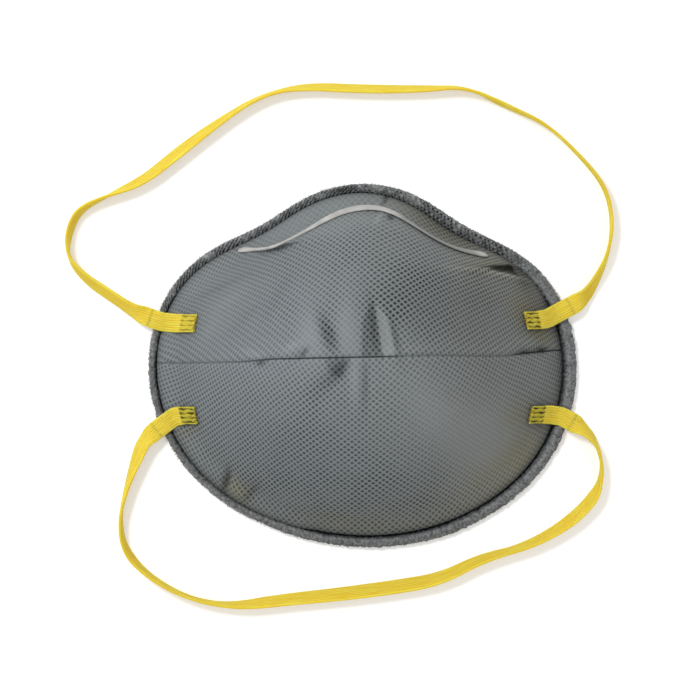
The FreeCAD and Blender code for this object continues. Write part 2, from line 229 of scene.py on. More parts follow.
def smooth_step(value, low, high):
    """0 up to low and 1 from high on, with an eased rise between them."""
    rise = np.clip((value - low) / (high - low), 0, 1)
    return rise * rise * (3 - 2 * rise)


def hump(value, middle, spread):
    """1 at the middle and fading both ways: exp(−((value − middle) / spread)²)."""
    return np.exp(-(((value - middle) / spread) ** 2))


def turned(x, y, middle_x, middle_y, turn):
    """Places as seen from a middle: how far along a line turned by degrees from the X axis,
    and how far to the left of it."""
    lean = np.radians(turn)
    along = (x - middle_x) * np.cos(lean) + (y - middle_y) * np.sin(lean)
    aside = (y - middle_y) * np.cos(lean) - (x - middle_x) * np.sin(lean)
    return along, aside


def bell(x, y, middle_x, middle_y, long, wide, turn):
    """A mound: 1 at its middle, fading past its long and wide half sizes, its long way
    turned by degrees from the X axis."""
    along, aside = turned(x, y, middle_x, middle_y, turn)
    return np.exp(-((along / long) ** 2) - (aside / wide) ** 2)


def unit(vectors):
    """The same directions, each of length 1."""
    return vectors / np.linalg.norm(vectors, axis=-1, keepdims=True)


def run_along(line):
    """How far along a line each of its points lies."""
    return np.concatenate([[0], np.cumsum(np.linalg.norm(np.diff(line, axis=0), axis=1))])


def rounded_box(count, wide_power, tall_power):
    """A section between an oval and a box: cosine and sine of count even turns, each raised
    to its power with its sign kept. The lower the power, the squarer the section."""
    turn = np.linspace(0, 2 * np.pi, count, endpoint=False)
    wide, tall = np.cos(turn), np.sin(turn)
    return np.sign(wide) * np.abs(wide) ** wide_power, np.sign(tall) * np.abs(tall) ** tall_power


# ---------------------------------------------------------------- materials

def colour(code):
    """A hex colour as it is written for a screen, turned to linear light."""
    parts = [int(code[start:start + 2], 16) / 255 for start in (1, 3, 5)]
    linear = [p / 12.92 if p <= 0.04045 else ((p + 0.055) / 1.055) ** 2.4 for p in parts]
    return (*linear, 1.0)


def grains(size):
    """The scale of a pattern whose grains are size millimetres across."""
    return 1 / (size * MM)


def result_of(node):
    """The output of a node that its settings leave live."""
    return next(socket for socket in node.outputs if socket.enabled)


def add_node(tree, kind, inputs=None, **settings):
    """Adds a node with its settings. Each input is a value, or a node or socket to link, and
    goes by its name or its number: a mix of colours has its share at 0 and they are 6 and 7."""
    made = tree.nodes.new(kind)
    for name, value in settings.items():
        setattr(made, name, value)
    for name, value in (inputs or {}).items():
        if isinstance(value, bpy.types.Node):
            value = result_of(value)
        if isinstance(value, bpy.types.NodeSocket):
            tree.links.new(value, made.inputs[name])
        else:
            made.inputs[name].default_value = value
    return made


def new_material(name, roughness, **uniform):
    """An empty material with its surface shader, whose even values are set on the shader."""
    material = bpy.data.materials.new(name)
    material.use_nodes = True
    tree = material.node_tree
    surface = tree.nodes["Principled BSDF"]
    surface.inputs["Roughness"].default_value = roughness
    for socket, value in uniform.items():
        surface.inputs[socket.replace("_", " ")].default_value = value
    return material, tree, surface


def finish_surface(tree, surface, paint, height, depth):
    """Links a colour and a bump of that depth, in millimetres, to the surface."""
    bump = add_node(tree, "ShaderNodeBump", {"Height": height, "Distance": depth * MM})
    tree.links.new(result_of(paint), surface.inputs["Base Color"])
    tree.links.new(bump.outputs[0], surface.inputs["Normal"])


def embossed_lattice(tree, spot):
    """The lattice pressed into the web, counted in its UV map and strayed by a slow waver: how
    far a point is into a round pit, and how far up the ridge between two pits."""
    counts = add_node(tree, "ShaderNodeUVMap", uv_map="cloth")
    waver = add_node(tree, "ShaderNodeTexNoise",
                     {"Vector": spot, "Scale": grains(3.846), "Detail": 2.0})
    strayed = add_node(tree, "ShaderNodeVectorMath",
                       {0: waver.outputs["Color"], 1: (0.25, 0.25, 0.0), 2: counts},
                       operation="MULTIPLY_ADD")
    cell = add_node(tree, "ShaderNodeVectorMath", {0: strayed}, operation="FRACTION")
    centred = add_node(tree, "ShaderNodeVectorMath", {0: cell, 1: (0.5, 0.5, 0.0)},
                       operation="SUBTRACT")
    away = add_node(tree, "ShaderNodeVectorMath", {0: centred}, operation="LENGTH")
    pit = add_node(tree, "ShaderNodeMapRange",
                   {"Value": away.outputs["Value"], "From Min": 0.48, "From Max": 0.14},
                   interpolation_type="SMOOTHSTEP")
    square = add_node(tree, "ShaderNodeVectorMath", {0: centred}, operation="ABSOLUTE")
    two_ways = add_node(tree, "ShaderNodeSeparateXYZ", {0: square})
    farther = add_node(tree, "ShaderNodeMath", {0: two_ways.outputs["X"],
                                                1: two_ways.outputs["Y"]}, operation="MAXIMUM")
    ridge = add_node(tree, "ShaderNodeMapRange",
                     {"Value": farther, "From Min": 0.3, "From Max": 0.5, "To Max": 0.36},
                     interpolation_type="SMOOTHSTEP")
    return pit, ridge


def cloudy_web(tree, spot):
    """The web's grey: cool at the left and warm at the right, with soft paler clouds, and olive
    where it is stretched."""
    apart = add_node(tree, "ShaderNodeSeparateXYZ", {0: spot})
    warm = add_node(tree, "ShaderNodeMapRange",
                    {"Value": apart.outputs["X"], "From Min": -30 * MM, "From Max": 55 * MM},
                    interpolation_type="SMOOTHSTEP")
    web = add_node(tree, "ShaderNodeMix", {0: warm, 6: colour("#767E82"), 7: colour("#75746D")},
                   data_type="RGBA")
    clouds = add_node(tree, "ShaderNodeTexNoise",
                      {"Vector": spot, "Scale": grains(26.32), "Detail": 3.0})
    cloudy = add_node(tree, "ShaderNodeMix", {0: clouds, 6: web, 7: colour("#82878A")},
                      data_type="RGBA")
    stretched = add_node(tree, "ShaderNodeAttribute", attribute_name="olive")
    return add_node(tree, "ShaderNodeMix",
                    {0: stretched.outputs["Fac"], 6: cloudy, 7: colour("#77735A")},
                    data_type="RGBA")


def painted_fold_shade(tree):
    """Painted shade in the fold line: a narrow dark stripe where a point's distance off it is near
    0.
    """
    off_fold = add_node(tree, "ShaderNodeAttribute", attribute_name="off_fold")
    apart = add_node(tree, "ShaderNodeMath", {0: off_fold.outputs["Fac"]}, operation="ABSOLUTE")
    line = add_node(tree, "ShaderNodeMapRange",
                    {"Value": apart, "From Min": 0.42, "From Max": 0.12})
    strength = add_node(tree, "ShaderNodeAttribute", attribute_name="fold")
    return add_node(tree, "ShaderNodeMath", {0: line, 1: strength.outputs["Fac"]},
                    operation="MULTIPLY")


def pressed_spunbond():
    """Thermally embossed spunbond polypropylene: matt grey, with a lattice of dark pressed
    pits between crossing lighter ridges of fibre, uneven from patch to patch. Its fibres are
    too fine to show, so their grain is drawn as clumps of half a millimetre."""
    material, tree, surface = new_material("embossed_spunbond", 0.88, Specular_IOR_Level=0.2)
    spot = add_node(tree, "ShaderNodeTexCoord").outputs["Object"]
    pit, ridge = embossed_lattice(tree, spot)
    patchy = add_node(tree, "ShaderNodeTexNoise",
                      {"Vector": spot, "Scale": grains(11.11), "Detail": 2.0})
    even = add_node(tree, "ShaderNodeMapRange",
                    {"Value": patchy, "From Min": 0.3, "From Max": 0.7, "To Min": 0.65})
    press = add_node(tree, "ShaderNodeAttribute", attribute_name="press")
    depth = add_node(tree, "ShaderNodeMath", {0: even, 1: press.outputs["Fac"]},
                     operation="MULTIPLY")
    pressed = add_node(tree, "ShaderNodeMath", {0: pit, 1: depth}, operation="MULTIPLY")
    ridged = add_node(tree, "ShaderNodeMix",
                      {0: ridge, 6: cloudy_web(tree, spot), 7: colour("#A3A8A8")},
                      data_type="RGBA")
    pits = add_node(tree, "ShaderNodeMix", {0: pressed, 6: ridged, 7: colour("#202527")},
                    data_type="RGBA")
    # The fold line is darkened here with painted shade.
    with_fold_shade = add_node(tree, "ShaderNodeMix", {0: painted_fold_shade(tree), 6: pits, 7: colour("#2E3335")},
                       data_type="RGBA")
    fibres = add_node(tree, "ShaderNodeTexNoise",
                      {"Vector": spot, "Scale": grains(0.5263), "Detail": 3.0, "Roughness": 0.7})
    # The tone brings the cover's painted light and shade into its colour.
    tone = add_node(tree, "ShaderNodeAttribute", attribute_name="tone")
    fibre_tone = add_node(tree, "ShaderNodeMath", {0: fibres, 1: 0.5, 2: tone.outputs["Fac"]},
                          operation="MULTIPLY_ADD")
    lit = add_node(tree, "ShaderNodeMath", {0: fibre_tone, 1: 0.66}, operation="ADD")
    paint = add_node(tree, "ShaderNodeVectorMath", {0: with_fold_shade, 1: lit}, operation="MULTIPLY")
    rise = add_node(tree, "ShaderNodeMath", {0: pressed, 1: -1.0, 2: fibres},
                    operation="MULTIPLY_ADD")
    finish_surface(tree, surface, paint, rise, 0.14)
    return material


def pressed_felt():
    """The welded edge: fibre webs pressed and twisted together, matt, its fibre mottled pale and
    dark, with painted shade in the hollows between its ribs and along the seam. Its fibre is drawn
    as clumps of a millimetre, because single fibres are too fine to show."""
    material, tree, surface = new_material("welded_fibre_edge", 0.9, Specular_IOR_Level=0.2)
    spot = add_node(tree, "ShaderNodeTexCoord").outputs["Object"]
    gap_shade = add_node(tree, "ShaderNodeAttribute", attribute_name="gap_shade")
    fibres = add_node(tree, "ShaderNodeTexNoise",
                      {"Vector": spot, "Scale": grains(1.0), "Detail": 4.0, "Roughness": 0.75})
    strength = add_node(tree, "ShaderNodeMapRange",
                        {"Value": fibres, "From Min": 0.32, "From Max": 0.68})
    web = add_node(tree, "ShaderNodeMix",
                   {0: strength, 6: colour("#4A4D4F"), 7: colour("#989A9A")}, data_type="RGBA")
    # Painted shade: the hollows between strands and the bead's inner side along the seam turn near
    # black.
    paint = add_node(tree, "ShaderNodeMix",
                     {0: gap_shade.outputs["Fac"], 6: web, 7: colour("#1C1F21")}, data_type="RGBA")
    tone = add_node(tree, "ShaderNodeAttribute", attribute_name="tone")
    lit = add_node(tree, "ShaderNodeMath", {0: tone.outputs["Fac"], 1: 1.0}, operation="ADD")
    shaded = add_node(tree, "ShaderNodeVectorMath", {0: paint, 1: lit}, operation="MULTIPLY")
    finish_surface(tree, surface, shaded, fibres, 0.35)
    return material


def braided_elastic():
    """Braided polyester elastic: lemon yellow, with low lengthwise ribs and painted shade, a deeper
    gold, between them. Light passes a little way into the yarn, so that its shaded side glows. The
    weld has pressed it to a greener yellow, with grooves painted dark olive: the pressed yarn's
    darker colour together with painted shade in them. Its UV map counts millimetres along the band
    and ribs across it."""
    material, tree, surface = new_material("braided_elastic", 0.72, Specular_IOR_Level=0.3,
                                           Subsurface_Weight=0.8, Subsurface_Scale=3 * MM,
                                           Subsurface_Radius=(1.0, 0.85, 0.25))
    counts = add_node(tree, "ShaderNodeUVMap", uv_map="cloth")
    apart = add_node(tree, "ShaderNodeSeparateXYZ", {0: counts})
    turn = add_node(tree, "ShaderNodeMath", {0: apart.outputs["Y"], 1: 2 * np.pi},
                    operation="MULTIPLY")
    rib = add_node(tree, "ShaderNodeMath", {0: turn}, operation="COSINE")
    streaks = add_node(tree, "ShaderNodeVectorMath", {0: counts, 1: (0.12, 1.4, 1.0)},
                       operation="MULTIPLY")
    streaked = add_node(tree, "ShaderNodeTexNoise",
                        {"Vector": streaks, "Scale": 1.0, "Detail": 3.0})
    spread = add_node(tree, "ShaderNodeMapRange",
                      {"Value": streaked, "From Min": 0.35, "From Max": 0.65})
    fuzz = add_node(tree, "ShaderNodeTexNoise",
                    {"Vector": add_node(tree, "ShaderNodeTexCoord").outputs["Object"],
                     "Scale": grains(0.625), "Detail": 2.0})
    # Painted shade in the hollows between the ribs.
    hollow_shade = add_node(tree, "ShaderNodeMapRange",
                      {"Value": rib, "From Min": 0.2, "From Max": -1.0, "To Max": 0.5},
                      interpolation_type="SMOOTHSTEP")
    yellow = add_node(tree, "ShaderNodeMix",
                      {0: spread, 6: colour("#FBE155"), 7: colour("#F2CA3B")},
                      data_type="RGBA")
    ribbed = add_node(tree, "ShaderNodeMix", {0: hollow_shade, 6: yellow, 7: colour("#DDA81E")},
                      data_type="RGBA")
    weld = add_node(tree, "ShaderNodeAttribute", attribute_name="weld")
    welded = add_node(tree, "ShaderNodeMix",
                      {0: weld.outputs["Fac"], 6: ribbed, 7: colour("#BEB232")},
                      data_type="RGBA")
    # The grooves are the pressed yarn's darker colour together with painted shade in them.
    groove = add_node(tree, "ShaderNodeAttribute", attribute_name="groove")
    paint = add_node(tree, "ShaderNodeMix",
                     {0: groove.outputs["Fac"], 6: welded, 7: colour("#4A3E08")},
                     data_type="RGBA")
    rise = add_node(tree, "ShaderNodeMath", {0: fuzz, 1: 0.5, 2: rib}, operation="MULTIPLY_ADD")
    finish_surface(tree, surface, paint, rise, 0.08)
    return material


def plain_finish(name, light, dark, roughness, size, depth):
    """A finish with two close tones and a grain, its size and depth in millimetres. Where a piece
    says that it is dimmed, its darker tone takes over."""
    material, tree, surface = new_material(name, roughness)
    spot = add_node(tree, "ShaderNodeTexCoord").outputs["Object"]
    grain = add_node(tree, "ShaderNodeTexNoise",
                     {"Vector": spot, "Scale": grains(size), "Detail": 4.0})
    dimmed = add_node(tree, "ShaderNodeAttribute", attribute_name="dimmed").outputs["Fac"]
    bright = add_node(tree, "ShaderNodeMath", {0: grain, 1: dimmed}, operation="SUBTRACT",
                      use_clamp=True)
    paint = add_node(tree, "ShaderNodeMix", {0: bright, 6: colour(dark), 7: colour(light)},
                     data_type="RGBA")
    finish_surface(tree, surface, paint, grain, depth)
    return material


# ---------------------------------------------------------------- the cup's form

def degrees_of(angle):
    """An angle in degrees, from -180 to 180."""
    return np.degrees(np.arctan2(np.sin(angle), np.cos(angle)))


def shoulder(angle):
    """How far the outline is drawn in at this angle: one hump each side of the nose."""
    degrees = degrees_of(angle)
    return SHOULDER_DIP * (hump(degrees, SHOULDER_ANGLE, SHOULDER_SPREAD)
                           + hump(degrees, 180 - SHOULDER_ANGLE, SHOULDER_SPREAD))


def rim_reach(angle):
    """Middle to the outside of the edge: an ellipse drawn in at the two shoulders."""
    across, along = np.cos(angle) / RIM_HALF_WIDTH, np.sin(angle) / RIM_HALF_LENGTH
    return 1 / np.hypot(across, along) - shoulder(angle)


def wall(angle, share):
    """A point of the cover's outside: share is 0 at the crown and 1 at the table. The drawn-in
    shoulders fade towards the crown, and the height falls as a power of share."""
    foot = rim_reach(angle) + shoulder(angle) - BEAD_WIDTH - WEB_GAP
    reach = share * (foot - shoulder(angle) * share ** 2)
    facing = np.sin(angle) ** 2
    power = SIDE_ROUNDNESS * (1 - facing) + FACE_ROUNDNESS * facing
    return np.stack([reach * np.cos(angle), reach * np.sin(angle) + CROWN_SHIFT * (1 - share),
                     CUP_DEPTH * (1 - share ** power)], -1)


def wall_normal(angle, share):
    """The outward normal of the cover at that point, from two short chords."""
    step = 0.002
    share = np.maximum(share, 0.01)
    around = wall(angle + step, share) - wall(angle - step, share)
    inwards = wall(angle, share * (1 - step)) - wall(angle, share * (1 + step))
    return unit(np.cross(around, inwards))


# Round the rim: (degrees, how far in from the even outline the bead starts, and where the
# seam between bead and cover runs).
EDGE_SPAN = [
    (-180, 0.1, 2.5), (-150, 0.0, 2.6), (-135, 0.3, 2.8), (-120, 0.8, 3.3), (-110, 0.5, 3.4),
    (-95, 0.1, 3.2), (-80, -0.4, 2.9), (-65, -0.9, 2.7), (-45, -1.0, 2.7), (-30, -1.2, 2.6),
    (-20, -0.7, 3.1), (-8, 0.0, 4.1), (10, 0.35, 4.3), (22, 0.35, 4.3), (38, 0.0, 3.9),
    (60, -0.1, 4.2), (75, -0.2, 3.6), (88, -0.3, 2.7), (105, 0.0, 3.0), (122, 0.0, 2.8),
    (138, -0.35, 3.0), (155, 0.1, 2.8), (168, 0.25, 2.7), (180, 0.1, 2.5),
]


def edge_span(angle):
    """Where the bead starts and where its seam runs at an angle, in from the even outline,
    eased between the keys by averaging over twelve degrees."""
    turns, starts, seams = np.array(EDGE_SPAN).T
    degrees = degrees_of(angle)
    nearby = (-6, -3, 0, 3, 6)
    return [sum(np.interp(degrees + off, turns, values, period=360) for off in nearby)
            / len(nearby) for values in (starts, seams)]


def seam_depth(angle):
    """How dark and deep the seam is: fullest from the chin round to the right cheek."""
    degrees = degrees_of(angle)
    return 0.1 + 0.5 * smooth_step(degrees, -118, -100) * smooth_step(degrees, 30, 10)


def foot_bulge(angle, share):
    """The cover's foot swells out to the seam that is seen between it and the edge, and on
    over the edge where the seam is shallow."""
    overlap = FOOT_OVERLAP * smooth_step(seam_depth(angle), 0.55, 0.15)
    out = BEAD_WIDTH + WEB_GAP - edge_span(angle)[1] + overlap
    return np.maximum(out, DEEPEST_DENT) * smooth_step(share, 0.9, 0.98)


def over_wall(x, y, rise):
    """The points straight above (x, y) that stand rise off the cover with its swollen foot,
    by repeated correction, and the wall's normals there."""
    x, y = np.asarray(x, float), np.asarray(y, float)
    angle, share = np.arctan2(y, x), np.full(x.shape, 0.8)
    for _ in range(40):
        normal = wall_normal(angle, share)
        point = wall(angle, share) + normal * (rise + foot_bulge(angle, share))[..., None]
        angle = angle + np.arctan2(y, x) - np.arctan2(point[..., 1], point[..., 0])
        share = share * np.hypot(x, y) / np.hypot(point[..., 0], point[..., 1])
    return point, normal


# Where the fold line crosses the cup: (x, level towards the nose).
FOLD_LINE = [(-70, 0.6), (-50, 0.9), (-38, 1.3), (-29, 2.2), (-15, 2.55), (-4, 2.8),
             (10, 3.1), (23, 3.4), (36, 3.1), (46, 3.1), (52, 4.0), (64, 4.9), (70, 5.1)]


def crease_level(x):
    """The level of the fold line at x."""
    places, levels = np.array(FOLD_LINE).T
    return np.interp(x, places, levels)


# ---------------------------------------------------------------- cover web

COVER_LINES = 266           # grid lines each way over the cover
COVER_RINGS = 10            # rings of its hidden underside
COVER_FOOT = 0.994          # share at which the cover meets the margin
PITS_ACROSS = 0.49          # lattice pits to the millimetre, across the middle of the face
PITS_CROWDED = 0.22         # and how many more at the cheeks
PITS_BELOW = 0.475          # away from the fold line towards the chin
PITS_ABOVE = 0.462          # and towards the nose
BOW_BELOW = 0.003           # how far the rows bow away from the fold line, in pits for each
BOW_ABOVE = 0.0036          # millimetre of x squared, on its two sides
PRESS = 0.7                 # how deep the pits are pressed where nothing changes it
# Painted shade where the cover meets the bead:
FOOT_PAINTED_SHADE = 0.13           # how much darker the cover gets towards its foot
SEAM_PAINTED_SHADE = 0.1            # and how much more where the seam is deep
# Painted shade in the fold line:
FOLD_PAINTED_SHADE = 0.35           # how dark the fold line is all along
FOLD_PAINTED_DARKER = 0.6           # and how much darker in its middle and at its right end

FOLD_DEPTH, FOLD_SPREAD = 0.45, 0.6     # the fold line's valley
LIP_HEIGHT, LIP_SPREAD = 0.25, 2.2      # and the lips that rise beside it

# Dents and swellings of the moulded web: (height, x, y, long, wide, turn in degrees).
COVER_FORMS = [
    (1.2, -3.0, 6.0, 26.0, 22.0, 0.0),       # the face of the cup, a little fuller
    (0.7, 44.0, 28.0, 14.0, 8.0, -10.0),
    (0.8, -42.0, -38.0, 13.0, 9.0, -40.0),
    (0.5, -4.8, 11.8, 13.0, 3.0, 90.0),      # ridge down the middle of the nose
    (-1.3, -10.6, 9.6, 7.0, 2.0, 110.0),     # hooked dent on its left
    (-1.6, 4.5, 11.0, 10.0, 1.9, 100.0),     # wedge on its right, wider near the fold
    (-0.6, 3.4, 6.0, 5.0, 2.6, 95.0),
    (0.7, 8.0, 9.0, 8.0, 1.8, 106.0),        # swelling beyond that
    (-0.5, 11.0, 9.0, 6.0, 1.6, 104.0),
    (-1.2, -7.2, -1.6, 5.0, 2.0, 52.0),      # pucker under the fold line
    (0.7, -2.4, -6.0, 10.0, 2.0, 90.0),      # short ridge under it
    (-0.5, 1.6, -5.0, 8.0, 1.4, 90.0),
    (-0.5, -12.0, -6.5, 6.0, 3.0, 40.0),
    (-0.5, -34.0, 0.6, 3.0, 1.2, -35.0),     # small puckers along the fold line
    (-0.6, -20.3, 2.2, 3.5, 1.2, 60.0),
    (0.4, -26.0, 4.5, 5.0, 1.5, 10.0),
    (0.4, 15.0, 4.6, 6.0, 1.2, 6.0),
    (-0.9, 54.0, 4.6, 5.0, 1.0, 6.0),        # pinch at the right end of the fold line
    (0.5, 53.0, 7.4, 6.0, 1.6, 14.0),
    (0.8, 43.0, 28.8, 13.0, 1.1, -8.5),      # lip of the pleat under the clip
    (-1.4, -43.6, -37.5, 3.8, 1.2, 80.0),    # dents where the cheek meets the chin
    (-0.35, -35.3, -40.4, 3.6, 2.2, -50.0),
    (1.0, -40.0, -39.4, 4.0, 2.0, -50.0),
    (-0.5, 7.4, 53.2, 2.0, 0.7, 60.0),       # wrinkle over the nose
    (0.4, 5.2, 47.4, 2.4, 0.7, 56.0),
    (-0.5, 9.1, 47.8, 1.0, 0.9, 0.0),
]
# Pleats: (height, x, y, long, turn in degrees). Each swells gently and drops at its lower side.
PLEAT_RISE, PLEAT_DROP = 2.2, 0.5
PLEATS = [
    (1.3, 42.5, 30.5, 8.0, 7.0),
    (1.0, -26.5, 37.6, 9.0, 12.0),
]
# Painted light and shade over the web's dents, pleats, creases and broad slopes, with changes of
# the lattice's depth: (tone, change of the lattice's depth, x, y, long, wide, turn in degrees).
COVER_PAINTED_SHADING = [
    # Painted shade and light on the dents and ridges over the nose, and on the pucker under the
    # fold line.
    (-0.34, 0.95, -10.9, 9.8, 6.0, 1.9, 112.0),
    (-0.12, 0.20, 3.4, 12.8, 7.0, 1.2, 99.0),
    (-0.14, 0.10, 9.6, 9.2, 6.0, 1.0, 104.0),
    (0.04, -0.75, -4.8, 12.0, 10.0, 3.6, 90.0),
    (0.05, -0.60, -16.5, 9.9, 9.0, 4.0, 90.0),
    (-0.28, 0.20, -7.5, -1.5, 4.5, 1.9, 52.0),
    (-0.13, 0.10, -12.0, -5.5, 6.0, 3.0, 40.0),
    (0.10, -0.40, -2.5, -5.5, 8.0, 1.7, 90.0),
    (-0.14, 0.00, 0.6, -4.6, 7.0, 1.0, 90.0),
    # Broad clouds over cheeks, nose and chin: painted light and shade of the wall's slopes, and
    # fainter or deeper lattice.
    (-0.12, 0.20, 13.0, 19.4, 15.0, 12.0, 0.0),
    (-0.10, 0.00, 40.0, 12.0, 22.0, 16.0, 0.0),
    (-0.06, 0.00, -30.0, 30.0, 24.0, 16.0, 20.0),
    (-0.10, 0.12, -28.0, -30.0, 26.0, 18.0, 0.0),
    (0.08, -0.85, 37.0, -23.0, 20.0, 13.0, -15.0),
    (0.06, -0.40, 20.0, -12.0, 12.0, 8.0, -55.0),
    (0.00, -0.36, -42.0, 18.0, 22.0, 18.0, 20.0),
    (-0.06, 0.00, -58.0, 2.0, 10.0, 18.0, 0.0),
    (0.04, -0.20, 0.0, 4.0, 60.0, 9.0, 2.0),
    (0.00, -0.18, 50.0, -4.0, 12.0, 16.0, 0.0),
    (0.00, 0.12, 18.0, 28.0, 16.0, 14.0, 0.0),
    (0.00, 0.20, 8.0, -43.0, 30.0, 9.0, -4.0),
    (0.06, 0.00, -6.0, 14.0, 20.0, 16.0, 0.0),
    (-0.08, 0.00, 28.0, 24.0, 16.0, 10.0, 0.0),
    (0.18, 0.00, 39.0, -37.5, 17.0, 7.5, 34.0),
    # The two pleats: painted shade under them and at their dark ends, and painted highlights on
    # their pale lips.
    (-0.40, 0.00, 43.0, 30.5, 7.0, 0.8, 5.0),
    (0.12, 0.10, 37.0, 33.4, 7.0, 1.0, -4.0),
    (0.46, 0.10, 43.0, 28.9, 13.0, 0.7, -8.5),
    (-0.42, 0.00, 50.8, 28.6, 5.0, 2.2, -42.0),
    (-0.10, 0.00, 54.5, 23.0, 6.0, 3.0, -52.0),
    (-0.20, 0.00, -28.0, 36.8, 7.0, 1.0, 10.0),
    # Fainter lattice between the clip and the bead, painted shade beneath the bead at the right
    # shoulder, and painted shade and light on small wrinkles there.
    (0.00, -0.40, -14.0, 49.0, 14.0, 4.0, 26.0),
    (0.00, -0.30, 12.0, 51.0, 10.0, 3.0, -15.0),
    (0.00, -0.25, -28.0, 42.5, 12.0, 3.5, 30.0),
    (-0.26, 0.10, 26.0, 43.8, 14.0, 3.4, -30.0),
    (0.00, -0.40, 22.0, 41.0, 14.0, 3.6, -28.0),
    (0.00, -0.40, 2.0, 52.5, 24.0, 3.5, 0.0),
    (0.04, -0.40, -12.0, 43.5, 14.0, 3.0, 12.0),
    (0.02, -0.30, 3.0, 46.5, 12.0, 2.6, -10.0),
    (0.00, -0.25, -24.0, 46.0, 10.0, 3.0, 32.0),
    (-0.50, 0.20, 7.4, 53.2, 2.0, 0.8, 60.0),
    (0.20, -0.30, 5.2, 47.4, 2.6, 0.7, 56.0),
    (-0.55, 0.00, 9.1, 47.8, 1.2, 0.9, 0.0),
    # Painted shade and light on the puckers along the fold line, and on the pinch at its right end.
    (-0.75, 0.00, 58.0, 4.9, 2.2, 1.0, 10.0),
    (-0.65, 0.00, 52.6, 4.2, 2.6, 0.8, 4.0),
    (0.12, 0.00, 54.0, 6.6, 3.0, 0.9, 14.0),
    (-0.55, 0.20, -32.1, 1.1, 1.9, 0.8, 20.0),
    (-0.55, 0.20, -18.4, 4.2, 2.0, 0.8, 50.0),
    (0.12, -0.20, -35.0, 3.9, 4.0, 1.2, -20.0),
    (0.12, -0.20, -22.5, 6.0, 4.0, 1.2, 35.0),
    # Painted shade and light on faint creases of the left cheek.
    (-0.10, 0.10, -45.5, 25.5, 10.0, 1.2, 24.0),
    (0.07, 0.00, -42.0, 21.5, 9.0, 1.6, 30.0),
    (-0.07, 0.00, -38.0, 14.5, 8.0, 1.4, 45.0),
    (-0.07, 0.00, -27.0, 22.0, 8.0, 1.6, 60.0),
    (0.06, -0.10, -49.0, 12.0, 8.0, 2.5, 55.0),
    # Painted shade and light on the dents where the left cheek meets the chin.
    (-0.55, 0.00, -43.8, -37.2, 3.6, 1.1, 80.0),
    (0.12, -0.20, -40.0, -39.6, 3.8, 2.0, -50.0),
    (-0.30, 0.10, -35.8, -40.6, 3.4, 1.0, 50.0),
]
# Painted shadow on the web round each pad, as a change of its tone, and how far across and along
# the face it reaches.
PAD_PAINTED_SHADOWS = {"upper_left": -0.14, "upper_right": -0.36, "lower_left": -0.18, "lower_right": -0.36}
PAD_SHADOW_SIZE = (3.8, 4.2)
# Painted shade and light on facets between sharp creases, and painted shade under the two pleats:
# (tone, change of the lattice's depth, softness of their sides, corners anticlockwise).
COVER_PAINTED_FACETS = [
    (-0.24, 0.30, 0.6, [(-0.6, 3.2), (6.1, 3.2), (2.9, 20.6), (-0.6, 14.0)]),
    (0.16, -0.80, 0.5, [(6.1, 3.2), (9.5, 3.2), (8.8, 9.7), (7.4, 15.0), (3.6, 19.5)]),
    (-0.22, 0.20, 0.8, [(-11.0, -1.5), (-7.0, -4.0), (-4.2, 2.6), (-12.0, 2.4)]),
    (-0.50, 0.00, 0.3,
     [(-37.0, 36.4), (-32.5, 36.0), (-26.1, 36.9), (-19.0, 39.4), (-32.5, 37.2)]),
    (-0.42, 0.00, 0.5, [(35.5, 30.7), (42.5, 29.3), (50.5, 28.0), (47.5, 31.9), (41.5, 31.4)]),
]
# Olive cast over the seam: (strength, x, y, long, wide, turn in degrees).
OLIVE_SPOTS = [
    (0.5, 26.0, 44.0, 16.0, 4.0, -30.0),
    (0.5, 40.0, 31.0, 9.0, 3.0, 0.0),
    (0.9, 52.0, 17.0, 4.5, 7.0, 20.0),
    (0.9, 58.0, 9.8, 4.0, 3.0, 0.0),
    (0.6, 50.0, -16.0, 6.0, 4.0, 20.0),
    (0.5, 52.0, -27.0, 8.0, 5.0, 60.0),
    (0.45, 42.0, -35.0, 13.0, 6.0, 38.0),
    (0.8, -40.0, -39.4, 5.0, 3.0, -45.0),
    (0.3, -8.0, -50.0, 14.0, 3.0, -6.0),
    (0.4, -57.0, -20.0, 4.0, 4.0, 0.0),
]


def pleat_fall(x, y, middle_x, middle_y, long, turn):
    """A pleat's section: 1 on its fold, easing away over the rise on its upper side and over
    the short drop on its lower side, and fading along its length as a bell does."""
    along, aside = turned(x, y, middle_x, middle_y, turn)
    wide = np.where(aside > 0, PLEAT_RISE, PLEAT_DROP)
    return np.exp(-((along / long) ** 2) - (aside / wide) ** 2)


def facet(x, y, soft, corners):
    """1 inside a facet with straight sides, easing to 0 over soft each side of its border."""
    total = 1.0
    for (from_x, from_y), (to_x, to_y) in zip(corners, corners[1:] + corners[:1]):
        length = np.hypot(to_x - from_x, to_y - from_y)
        inwards = ((to_x - from_x) * (y - from_y) - (to_y - from_y) * (x - from_x)) / length
        total = total * smooth_step(inwards, -soft, soft)
    return total


def cover_relief(x, y):
    """How far the web stands off its even form: its dents, swellings and pleats, and the
    fold line as a narrow valley with its lips slightly raised."""
    total = np.zeros_like(x)
    for height, *form in COVER_FORMS:
        total = total + height * bell(x, y, *form)
    for height, *pleat in PLEATS:
        total = total + height * pleat_fall(x, y, *pleat)
    off = y - crease_level(x)
    total = total - FOLD_DEPTH * hump(off, 0, FOLD_SPREAD) + LIP_HEIGHT * hump(off, 0, LIP_SPREAD)
    return np.maximum(total, DEEPEST_DENT)


